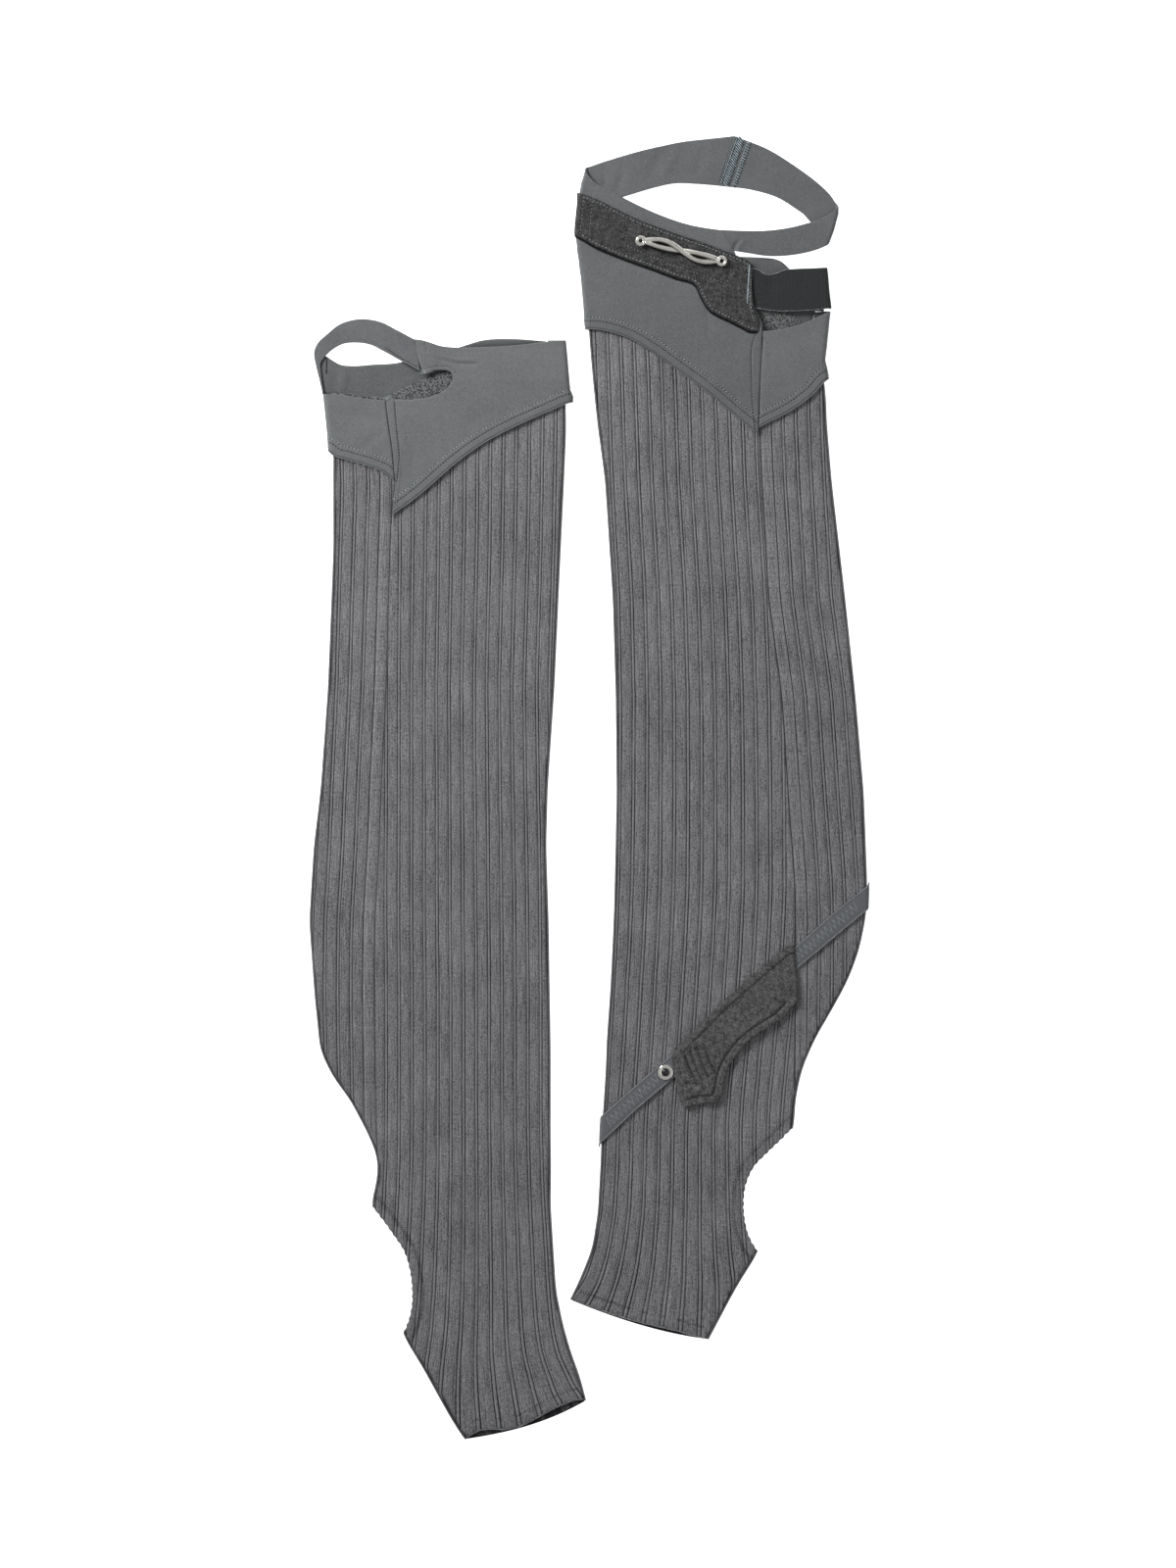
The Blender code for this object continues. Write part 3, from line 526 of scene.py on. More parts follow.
class Value:
    """A number that a shader works out, with Python's own operators."""

    def __init__(self, graph: "Graph", socket: Socket) -> None:
        """Wraps the socket that gives the number."""
        self.graph = graph
        self.socket = socket

    def maths(self, operation: str, *others: "Number") -> "Value":
        """A Math node with this number first."""
        return self.graph.maths(operation, self, *others)

    def __add__(self, other: "Number") -> "Value":
        """Adds."""
        return self.maths("ADD", other)

    __radd__ = __add__

    def __sub__(self, other: "Number") -> "Value":
        """Takes away."""
        return self.maths("SUBTRACT", other)

    def __rsub__(self, other: "Number") -> "Value":
        """Taken away from another number."""
        return self.graph.maths("SUBTRACT", other, self)

    def __mul__(self, other: "Number") -> "Value":
        """Multiplies."""
        return self.maths("MULTIPLY", other)

    __rmul__ = __mul__

    def __truediv__(self, other: "Number") -> "Value":
        """Divides."""
        return self.maths("DIVIDE", other)

    def fraction(self) -> "Value":
        """What is left over a whole number."""
        return self.maths("FRACT")

    def size(self) -> "Value":
        """The number without its sign."""
        return self.maths("ABSOLUTE")

    def zigzag(self) -> "Value":
        """1 at whole numbers and 0 half way between them."""
        return (self.fraction() - 0.5).size() * 2.0

    def sway(self, weight: float) -> "Value":
        """How far noise is from its middle, times a weight."""
        return (self - 0.5) * weight

    def rise(self, low: float, high: float) -> "Value":
        """0 at low, 1 at high, with an even rise between; low may be the larger.

        Args:
            low: where it is 0.
            high: where it is 1.

        Returns:
            A number from 0 to 1.
        """
        made = self.graph.node("ShaderNodeMapRange", {"Value": self, "From Min": low, "From Max": high},
                               interpolation_type="SMOOTHSTEP")
        return Value(self.graph, made.outputs["Result"])


Number = Union[Value, float]


class Graph:
    """The nodes of one material."""

    def __init__(self, name: str) -> None:
        """Starts a material with a Principled shader and its output.

        Args:
            name: the material's name.
        """
        self.material = bpy.data.materials.new(name)
        self.material.use_nodes = True
        self.tree = self.material.node_tree
        self.tree.nodes.clear()
        self.shader = self.node("ShaderNodeBsdfPrincipled", {})
        self.node("ShaderNodeOutputMaterial", {"Surface": self.shader.outputs["BSDF"]})

    def node(self, kind: str, sockets: dict, **settings: str) -> bpy.types.Node:
        """Adds a node.

        Args:
            kind: its type.
            sockets: what each of its inputs gets.
            settings: its own settings, which are set first.

        Returns:
            The node.
        """
        made = self.tree.nodes.new(kind)
        for key, setting in settings.items():
            setattr(made, key, setting)
        self.wire(made, sockets)
        return made

    def wire(self, node: bpy.types.Node, sockets: dict) -> None:
        """Sets a node's inputs.

        Args:
            node: the node.
            sockets: a number, colour, Value or output for each input, by its name or number.
        """
        for key, given in sockets.items():
            if isinstance(given, Value):
                given = given.socket
            if isinstance(given, Socket):
                self.tree.links.new(given, node.inputs[key])
            elif isinstance(given, tuple):
                node.inputs[key].default_value = (*given, 1.0)
            else:
                node.inputs[key].default_value = given

    def maths(self, operation: str, *numbers: Number) -> Value:
        """A Math node on these numbers."""
        made = self.node("ShaderNodeMath", dict(enumerate(numbers)), operation=operation)
        return Value(self, made.outputs[0])

    def place(self) -> Socket:
        """The object's own coordinates, in metres."""
        return self.node("ShaderNodeTexCoord", {}).outputs["Object"]

    def cloth(self) -> tuple[Value, Value]:
        """Places across and along the cloth, in millimetres.

        Returns:
            The two places.
        """
        uv = self.node("ShaderNodeUVMap", {}, uv_map="cloth")
        parts = self.node("ShaderNodeSeparateXYZ", {0: uv.outputs["UV"]})
        return Value(self, parts.outputs[0]), Value(self, parts.outputs[1])

    def stretched(self, x: Value, y: Value, detail: float, rough: float = 0.5) -> Value:
        """Noise from 0 to 1 at places of the cloth, each way at its own scale."""
        place = self.node("ShaderNodeCombineXYZ", {0: x, 1: y}).outputs[0]
        return self.noise(place, 1.0, detail, rough)

    def noise(self, place: Socket, scale: float, detail: float = 2.0, rough: float = 0.5) -> Value:
        """Noise from 0 to 1 at a place.

        Args:
            place: where it is taken.
            scale: how fine it is.
            detail: how many finer layers it has.
            rough: how strong those are.

        Returns:
            The noise.
        """
        made = self.node("ShaderNodeTexNoise", {"Vector": place, "Scale": scale, "Detail": detail,
                                                "Roughness": rough})
        return Value(self, made.outputs[0])

    def cells(self, place: Socket, scale: float) -> Value:
        """The distance to the nearest of a scatter of points."""
        made = self.node("ShaderNodeTexVoronoi", {"Vector": place, "Scale": scale})
        return Value(self, made.outputs["Distance"])

    def tone(self) -> Value:
        """The painted light that the mesh holds at each point: painted shade from 0 in its hollows up to 1,
        and on the bar its painted highlight.
        """
        return Value(self, self.node("ShaderNodeAttribute", {}, attribute_name="tone").outputs["Fac"])

    def mix(self, start: object, end: object, share: Number) -> Socket:
        """A colour that lies this share of the way from one to another."""
        return self.node("ShaderNodeMix", {0: share, 6: start, 7: end}, data_type="RGBA").outputs[2]

    def mottled(self, dark: Colour, light: Colour, level: Value, deep: Optional[Colour] = None) -> Socket:
        """A colour between two by level, sinking to a deep one, or to the dark one, where the mesh holds
        painted shade in its hollows.
        """
        return self.mix(deep or dark, self.mix(dark, light, level), self.tone().rise(0.0, 1.0))

    def finish(self, colour: object, height: Optional[Value], bump: float, roughness: Number,
               **fixed: object) -> Material:
        """Sets the shader.

        Args:
            colour: the base colour.
            height: the relief of the surface, in millimetres.
            bump: how much of that relief shows.
            roughness: the roughness.
            fixed: other inputs of the shader that are the same all over, by name.

        Returns:
            The finished material.
        """
        sockets = {"Base Color": colour, "Roughness": roughness}
        if height is not None:
            made = self.node("ShaderNodeBump", {"Strength": bump, "Distance": MM, "Height": height})
            sockets["Normal"] = made.outputs["Normal"]
        for name, given in fixed.items():
            sockets[name.replace("_", " ").title().replace("Ior", "IOR")] = given
        self.wire(self.shader, sockets)
        return self.material


def shade(red: float, green: float, blue: float) -> Colour:
    """A colour given from 0 to 255 as a screen shows it, as the linear one that shaders take."""
    return tuple((((c / 255) + 0.055) / 1.055) ** 2.4 for c in (red, green, blue))


@dataclass(frozen=True)
class RibKnit:
    """Grey marl rib knit, brushed on its face, with painted shade in its grooves."""

    dark: Colour = shade(65, 64, 67)
    light: Colour = shade(160, 159, 162)
    # colour of the painted highlight on the thin ribs
    thin: Colour = shade(150, 153, 156)
    # colour of the painted shade in the rib grooves and of the dark lines down the wide ribs
    groove_shade: Colour = shade(36, 35, 38)
    wale: float = 1.15
    course: float = 1.0
    pitch: float = 9.5

    def material(self) -> Material:
        """Makes the material.

        Returns:
            The material.
        """
        graph = Graph("rib_knit")
        across, along = graph.cloth()
        place = graph.place()
        column = (across / self.wale).fraction() - 0.5
        vee = (along / self.course + column.size() * 1.3).zigzag()
        stitch = (1.0 - vee * vee) * column.size().rise(0.5, 0.3)
        fuzz = graph.noise(place, 1900.0, 2.0, 0.7)
        grain = graph.stretched(across * 1.15, along * 0.55, 3.0, 0.7)
        streak = graph.stretched(across * 1.9, along * 0.05, 3.0, 0.75)
        patch = graph.noise(place, 26.0)
        level = (0.5 + fuzz.sway(1.5) + grain.sway(1.2) + streak.sway(1.35) + patch.sway(0.3)
                 + stitch.sway(0.14))
        colour = graph.mix(self.dark, self.light, level.rise(0.0, 1.0))
        # the thin ribs get a lighter colour: painted highlight on them
        centre = ((across / self.pitch + 0.5).fraction() - 0.5).size()
        colour = graph.mix(colour, self.thin, centre.rise(0.1, 0.03) * (0.1 + grain * 0.5))
        # dark lines down the wide ribs: painted shade lines
        faint = graph.stretched(across * 0.21, along * 0.011, 2.0).rise(0.45, 0.7)
        line = ((centre - 0.27).size().rise(0.05, 0.01) * faint
                + (centre - 0.4).size().rise(0.04, 0.0) * (1.0 - faint) * 0.5)
        colour = graph.mix(colour, self.groove_shade, line * 0.42)
        # painted shade where the mesh's painted light is low, in the rib grooves, stronger in some long soft
        # bands and patches than in others
        uneven_shade = graph.stretched(across * 0.11, along * 0.016, 2.0).rise(0.34, 0.66)
        broken = graph.stretched(across * 0.5, along * 0.5, 2.0)
        sunk = graph.tone().rise(1.0, 0.0) * (0.54 + uneven_shade * 0.42 + broken * 0.34)
        colour = graph.mix(colour, self.groove_shade, sunk)
        height = stitch * 0.16 + fuzz * 0.3 + streak * 0.2 + grain * 0.15
        return graph.finish(colour, height, 0.9, 0.95, sheen_weight=0.12, sheen_roughness=0.5,
                            specular_ior_level=0.1)


@dataclass(frozen=True)
class Jersey:
    """Smooth matt jersey of one grey, with painted shade in its stitch lines and hollows."""

    name: str = "jersey"
    dark: Colour = shade(90, 92, 93)
    light: Colour = shade(124, 126, 127)
    # colour of the painted shade in the stitch lines and hollows
    deep: Colour = shade(46, 48, 49)
    wale: float = 0.5

    def material(self) -> Material:
        """Makes the material.

        Returns:
            The material.
        """
        graph = Graph(self.name)
        across, along = graph.cloth()
        place = graph.place()
        column = (across / self.wale).zigzag()
        row = (along / (self.wale * 0.8) + column * 0.5).zigzag()
        stitch = (1.0 - column * column) * (1.0 - row * row * 0.5)
        grain = graph.noise(place, 1700.0, 2.0, 0.6)
        level = (0.5 + grain.sway(1.5) + graph.noise(place, 300.0).sway(0.25)
                 + graph.noise(place, 30.0).sway(0.3) + stitch.sway(0.2))
        colour = graph.mottled(self.dark, self.light, level.rise(0.0, 1.0), self.deep)
        height = stitch * 0.06 + grain * 0.07
        return graph.finish(colour, height, 0.7, 0.92, sheen_weight=0.1, sheen_roughness=0.5,
                            specular_ior_level=0.12)


@dataclass(frozen=True)
class Terry:
    """The looped wrong side of a grey knit."""

    dark: Colour = shade(56, 58, 60)
    light: Colour = shade(150, 152, 152)

    def material(self) -> Material:
        """Makes the material.

        Returns:
            The material.
        """
        graph = Graph("terry")
        place = graph.place()
        loops = graph.cells(place, 820.0)
        grain = graph.noise(place, 1500.0, 2.0, 0.6)
        level = (1.0 - loops) * 0.6 + grain * 0.5
        colour = graph.mottled(self.dark, self.light, level.rise(0.35, 0.95))
        return graph.finish(colour, (1.0 - loops) * 0.5, 0.8, 0.95, sheen_weight=0.1,
                            specular_ior_level=0.1)


@dataclass(frozen=True)
class Suede:
    """Charcoal suede with a brushed, mottled nap."""

    dark: Colour = shade(26, 26, 26)
    light: Colour = shade(98, 98, 99)
    nap_x: float = 0.75
    nap_y: float = 0.66

    def material(self, name: str = "suede") -> Material:
        """Makes the material, under a name.

        Args:
            name: its name.

        Returns:
            The material.
        """
        graph = Graph(name)
        across, along = graph.cloth()
        place = graph.place()
        forward = across * self.nap_x + along * self.nap_y
        sideways = across * self.nap_y - along * self.nap_x
        strokes = graph.stretched(forward * 1.9, sideways * 0.35, 3.0, 0.65)
        grain = graph.noise(place, 1300.0, 2.0, 0.7)
        mottle = graph.noise(place, 260.0, 3.0, 0.65)
        level = 0.44 + strokes.sway(1.7) + grain.sway(1.0) + mottle.sway(0.8)
        # sinks to the dark colour along the grooves, where the mesh holds painted shade
        colour = graph.mottled(self.dark, self.light, level.rise(0.0, 1.0))
        height = strokes * 0.4 + grain * 0.25 + mottle * 0.3
        return graph.finish(colour, height, 0.7, 0.95, sheen_weight=0.15, sheen_roughness=0.4,
                            specular_ior_level=0.1)


@dataclass(frozen=True)
class Webbing:
    """Woven elastic: fine cords along it and picks across it."""

    name: str
    dark: Colour
    light: Colour
    cord: float = 1.1
    pick: float = 0.6

    def material(self) -> Material:
        """Makes the material.

        Returns:
            The material.
        """
        graph = Graph(self.name)
        across, along = graph.cloth()
        place = graph.place()
        cords = (across / self.cord).zigzag()
        picks = (along / self.pick + cords * 0.5).zigzag()
        weave = (1.0 - cords * cords) * 0.6 + (1.0 - picks) * 0.4
        grain = graph.noise(place, 1400.0, 2.0, 0.6)
        # sinks to the dark colour along the stitch grooves, where the mesh holds painted shade
        colour = graph.mottled(self.dark, self.light, (weave * 0.55 + grain * 0.6).rise(0.2, 0.95))
        return graph.finish(colour, weave * 0.12 + grain * 0.05, 0.8, 0.85, sheen_weight=0.05,
                            specular_ior_level=0.2)


@dataclass(frozen=True)
class ThreadFinish:
    """Spun thread, nap or loops, with a little variation from one to the next."""

    name: str
    dark: Colour
    light: Colour

    def material(self) -> Material:
        """Makes the material.

        Returns:
            The material.
        """
        graph = Graph(self.name)
        place = graph.place()
        level = graph.noise(place, 420.0, 1.0) * 0.6 + graph.noise(place, 2400.0, 1.0) * 0.5
        colour = graph.mix(self.dark, self.light, level.rise(0.3, 0.8))
        return graph.finish(colour, graph.noise(place, 3000.0, 1.0) * 0.1, 0.6, 0.75,
                            specular_ior_level=0.25)


@dataclass(frozen=True)
class Metal:
    """Cast and polished metal, with painted highlight and painted shade from the mesh's painted light."""

    name: str
    bright: Colour
    shade_colour: Colour
    roughness: float = 0.2
    metallic: float = 0.7

    def material(self) -> Material:
        """Makes the material.

        Returns:
            The material.
        """
        graph = Graph(self.name)
        place = graph.place()
        cast = graph.noise(place, 190.0, 3.0, 0.6)
        pits = graph.noise(place, 900.0, 2.0, 0.6)
        # painted highlight where the mesh's painted light is high and painted shade where it is low, varied
        # by the cast noise
        lit = graph.tone().rise(0.3, 0.95) * (0.55 + cast * 0.9)
        colour = graph.mix(self.shade_colour, self.bright, lit)
        rough = self.roughness + pits.sway(0.12)
        return graph.finish(colour, cast * 0.5 + pits * 0.06, 0.5, rough, metallic=self.metallic)


class Finishes:
    """The garment's finishes, which its pieces share."""

    def __init__(self) -> None:
        """Makes them all."""
        self.knit = RibKnit().material()
        self.jersey = Jersey().material()
        self.cool_jersey = Jersey("jersey_cool", shade(84, 86, 88), shade(118, 120, 122)).material()
        # a darker copy of the jersey for the insides of the back panels: painted shade
        self.shaded_jersey = Jersey("shaded_jersey", shade(76, 78, 79), shade(112, 114, 115)).material()
        self.terry = Terry().material()
        self.suede = Suede().material()
        # the backing layer is real, but its near-black colour is painted shadow under the belt's lower edge
        self.backing = Suede(shade(12, 12, 12), shade(38, 38, 38)).material("suede_backing_painted_shadow")
        self.brushed = Suede(shade(34, 33, 33), shade(128, 127, 127)).material("suede_brushed")
        self.black = Webbing("black_elastic", shade(20, 21, 22), shade(59, 61, 62)).material()
        self.grey = Webbing("grey_elastic", shade(74, 76, 79), shade(114, 116, 119)).material()
        self.silver = Metal("silver", (1.0, 0.98, 0.92), (0.02, 0.017, 0.012), 0.1, 0.82).material()
        self.enamel = Metal("dark_metal", (0.05, 0.05, 0.052), (0.02, 0.02, 0.02), 0.22).material()
        self.light = ThreadFinish("light_thread", shade(112, 116, 118), shade(172, 176, 178)).material()
        self.dark = ThreadFinish("dark_thread", shade(38, 40, 42), shade(66, 68, 70)).material()
        self.pale = ThreadFinish("pale_thread", shade(120, 134, 140), shade(184, 198, 204)).material()
        self.loops = ThreadFinish("terry_loops", shade(84, 86, 86), shade(172, 173, 171)).material()
        self.fray = ThreadFinish("frayed_thread", shade(120, 124, 126), shade(206, 210, 210)).material()
        self.nap = ThreadFinish("suede_nap", shade(38, 37, 37), shade(124, 122, 121)).material()


# ------------------------------------------------------------------------------ mesh kit


def finish_piece(name: str, bm: Mesh, material: Material, node: Optional[str] = None,
                 sharp: float = 180.0) -> Piece:
    """Makes one object of a mesh in metres, which rides on the garment's body.

    Args:
        name: its name.
        bm: the mesh, which is freed.
        material: its finish.
        node: the solid that it replaces, if any; its faces are then turned outward.
        sharp: degrees between faces that meet in a sharp edge.

    Returns:
        The object.
    """
    if node is not None:
        bmesh.ops.recalc_face_normals(bm, faces=bm.faces)
        if bm.calc_volume(signed=True) < 0:
            bmesh.ops.reverse_faces(bm, faces=bm.faces)
    mesh = bpy.data.meshes.new(name)
    bm.to_mesh(mesh)
    bm.free()
    mesh.shade_smooth()
    if sharp < 180.0:
        mesh.set_sharp_from_angle(angle=math.radians(sharp))
    mesh.materials.append(material)
    piece = bpy.data.objects.new(name, mesh)
    bpy.context.scene.collection.objects.link(piece)
    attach(piece, BODY)
    if node is not None:
        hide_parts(node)
    log.info("%s: %d faces", name, len(mesh.polygons))
    return piece


def close_shell(bm: Mesh, outer: Array, inner: Array, inside: float = 1.0) -> None:
    """Gives an open mesh its thickness.

    Args:
        bm: the mesh, whose layer "slot" numbers its points.
        outer: where each numbered point goes, in metres.
        inner: where its twin on the inner side goes.
        inside: how much of the outer side's painted light the inner side keeps; below 1 it is painted shade
            on the inner side.
    """
    slot, tone = bm.verts.layers.int["slot"], bm.verts.layers.float["tone"]
    originals = set(bm.verts)
    bmesh.ops.extrude_face_region(bm, geom=bm.faces[:], use_keep_orig=True)
    for vert in bm.verts:
        outside = vert in originals
        vert.co = (outer if outside else inner)[vert[slot]]
        vert[tone] *= 1.0 if outside else inside


@dataclass
class Relief:
    """What stands proud of a piece or sinks into it, in millimetres."""

    creases: Creases = ()
    bands: list = field(default_factory=list)
    grooves: list = field(default_factory=list)
    waves: float = 0.12
    seed: int = 1

    def folds(self, flat: Array) -> Array:
        """Height of the creases and soft waves, which both sides of the cloth follow.

        Args:
            flat: places on the flat piece.

        Returns:
            A height for each.
        """
        total = np.zeros(len(flat))
        for crease in self.creases:
            run = np.array([crease.x1 - crease.x0, crease.y1 - crease.y0])
            length = float(np.hypot(*run))
            ahead = run / length
            rel = flat[:, :2] - np.array([crease.x0, crease.y0])
            t = np.clip(rel @ ahead / length, 0.0, 1.0)
            off = rel[:, 1] * ahead[0] - rel[:, 0] * ahead[1] - crease.bow * 4 * t * (1 - t)
            total += crease.height * np.exp(-((off / crease.width) ** 2)) * np.sin(math.pi * t) ** 0.7
        rng = np.random.default_rng(self.seed)
        for _ in range(5):
            turn, phase = rng.uniform(0, math.tau, 2)
            length = rng.uniform(24, 60)
            along = flat[:, 0] * math.cos(turn) + flat[:, 1] * math.sin(turn)
            total += self.waves / 2 * np.sin(along * math.tau / length + phase)
        return total

    def sewn(self, flat: Array) -> Array:
        """Height that hems add and stitch lines take away on the outer side.

        Args:
            flat: places on the flat piece.

        Returns:
            A height for each.
        """
        total = np.zeros(len(flat))
        for path, width, rise in self.bands:
            total += rise * (1.0 - smooth_step(distance_to(flat, path), width - 0.6, width + 0.6))
        for path, width, depth in self.grooves:
            total -= depth * np.exp(-((distance_to(flat, path) / width) ** 2))
        return total

    def tone(self, flat: Array) -> Array:
        """Painted shade along the grooves: how light the cloth is painted, from 0 in the deepest stitch line
        to 1.

        Args:
            flat: places on the flat piece.

        Returns:
            A lightness for each.
        """
        tone = np.ones(len(flat))
        for path, width, depth in self.grooves:
            # each groove paints shade along it
            tone -= min(depth, 0.8) * 0.8 * np.exp(-((distance_to(flat, path) / width) ** 2))
        return np.clip(tone, 0.0, 1.0)


@dataclass
class Cloth:
    """A thin piece of cloth, cut flat and laid on a form."""

    node: str
    slot: str
    lay: Lay
    thickness: float
    material: Material
    rests_on: tuple[str, ...] = ()
    relief: Relief = field(default_factory=Relief)
    cut: Cut = Cut.PANEL
    layer: str = "cloth"
    spacing: float = 1.6
    sewn_low: float = 0.0
    sewn_high: float = 0.0
    sewn_start: float = 0.0
    sewn_end: float = 0.0
    cuts: Sequence[Array] = ()

    @property
    def name(self) -> str:
        """The name of its solid, with what the piece is made of."""
        return f"{self.node}_{self.layer}"

    def strips(self, table: Rows, extra: Optional[Sequence[float]] = None) -> "Cloth":
        """Starts the flat piece from strips across it.

        Args:
            table: the strips, in order.
            extra: one more number for each strip, which the lay gets as a third column.

        Returns:
            This piece.
        """
        rows = np.array(table, float)
        if extra is not None:
            rows = np.column_stack([rows, extra])
        middle = (rows[:, :2] + rows[:, 2:4]) / 2
        steps = np.linalg.norm(np.diff(middle, axis=0), axis=1)
        curve = Curve(rows, np.concatenate([[0.0], np.cumsum(steps)]))
        start, end = near_edge(self.sewn_start), near_edge(self.sewn_end)
        count = max(int((curve.length - start[-1] - end[-1]) / self.spacing), 2)
        where = spread(curve.length, start, end, count)
        fine = curve.at(where)
        low, high = fine[:, :2], fine[:, 2:4]
        width = np.linalg.norm(high - low, axis=1)
        start, end = near_edge(self.sewn_low), near_edge(self.sewn_high)
        count = max(int((width.max() - start[-1] - end[-1]) / self.spacing), 2)
        share = np.array([spread(size, start, end, count) / size for size in width]).T[:, :, None]
        flat = low[None] + (high - low)[None] * share
        extras = np.broadcast_to(fine[:, 4] if extra is not None else where, share.shape[:2])
        self.bm = bmesh.new()
        made = bmesh.ops.create_grid(self.bm, x_segments=len(where) - 1,
                                     y_segments=share.shape[0] - 1, size=1.0)["verts"]
        for vert, (x, y), z in zip(made, flat.reshape(-1, 2), extras.reshape(-1)):
            vert.co = (x, y, z)
        self.low_edge, self.high_edge = low, high
        self.outlines = [np.vstack([low, flat[:, -1], high[::-1], flat[::-1, 0]])]
        self.length = curve.length
        return self

    def outline(self, edge: Array) -> "Cloth":
        """Starts the flat piece from a grid cut to an outline.

        Args:
            edge: the outline's points.

        Returns:
            This piece.
        """
        low, high = edge.min(axis=0) - 1.0, edge.max(axis=0) + 1.0
        counts = [max(int(size / self.spacing), 2) for size in high - low]
        self.bm = bmesh.new()
        made = bmesh.ops.create_grid(self.bm, x_segments=counts[0], y_segments=counts[1], size=0.5)["verts"]
        for vert in made:
            vert.co = (*(low + (np.array(vert.co[:2]) + 0.5) * (high - low)), 0.0)
        cut_along(self.bm, edge, Keep.INSIDE, self.spacing * 1.5)
        self.outlines = [np.vstack([edge, edge[:1]])]
        self.length = float(max(high - low))
        return self

    def opened(self, edge: Array, rounded: bool = True) -> "Cloth":
        """Cuts an opening in the flat piece, with a rounded edge or with one that meets another piece.

        Args:
            edge: the opening's outline.
            rounded: whether its edge is rounded.

        Returns:
            This piece.
        """
        cut_along(self.bm, edge, Keep.OUTSIDE, self.spacing * 2.0)
        self.cuts = [*self.cuts, edge]
        if rounded:
            self.outlines.append(np.vstack([edge, edge[:1]]))
        return self

    def on(self, flat: Array, out: float = 0.0) -> Array:
        """Points on the outer side of the laid piece, or this far out from it, in millimetres."""
        height = self.thickness + self.relief.folds(flat) + self.relief.sewn(flat) + out
        return self.lay(flat, height)

    def build(self) -> "Cloth":
        """Lays the flat piece on its form and gives it its thickness.

        Returns:
            This piece.
        """
        bm = self.bm
        flat = np.array([vert.co for vert in bm.verts])
        self.size = np.ptp(flat[:, :2], axis=0)
        for vert in bm.verts:
            vert.co.z = 0.0
        self.area = sum(face.calc_area() for face in bm.faces)
        slot = bm.verts.layers.int.new("slot")
        tone = bm.verts.layers.float.new("tone")
        uv = bm.loops.layers.uv.new("cloth")
        # painted shade along the piece's grooves
        lightness = self.relief.tone(flat)
        for i, vert in enumerate(bm.verts):
            vert[slot] = i
            vert[tone] = lightness[i]
        for face in bm.faces:
            for loop in face.loops:
                loop[uv].uv = loop.vert.co[:2]
        near = np.min([distance_to(flat, edge) for edge in self.outlines], axis=0)
        full = np.sqrt(1.0 - (1.0 - np.clip(near / EDGE_ROUND, 0.0, 1.0)) ** 2)
        full = EDGE_LEAST + (1.0 - EDGE_LEAST) * full
        folds = self.relief.folds(flat)
        middle = self.thickness / 2 + folds
        outer = middle + self.thickness / 2 * full + self.relief.sewn(flat)
        inner = middle - self.thickness / 2 * full
        close_shell(bm, metres(self.lay(flat, outer)), metres(self.lay(flat, inner)))
        self.piece = finish_piece(self.name, bm, self.material, self.node)
        return self

    def declare(self, with_pieces: Sequence[Piece] = ()) -> None:
        """Works out the flat size and area of the piece's cut, and does nothing more with them.

        Args:
            with_pieces: the sewing on it; not used.
        """
        if self.cut is Cut.BAND:
            flat, area = (self.area / self.length * MM, self.length * MM), None
        else:
            flat, area = tuple(self.size * MM), self.area * MM * MM


class Stitch(NamedTuple):
    """A kind of stitch: its size, and how a row of it lies on the cloth."""

    pitch: float
    length: float
    width: float
    height: float
    out: float = 0.0        # how far out from the surface their middles are
    turn: float = 0.0       # how far each is turned from the row, in radians
    start: float = 0.5      # where the first is, as a share of the pitch
    shift: float = 0.0      # how far to its left the row lies from its path


TOPSTITCH = Stitch(2.3, 1.8, 0.8, 0.4, 0.08)
SEAM = Stitch(0.9, 1.3, 0.7, 0.6, -0.35)


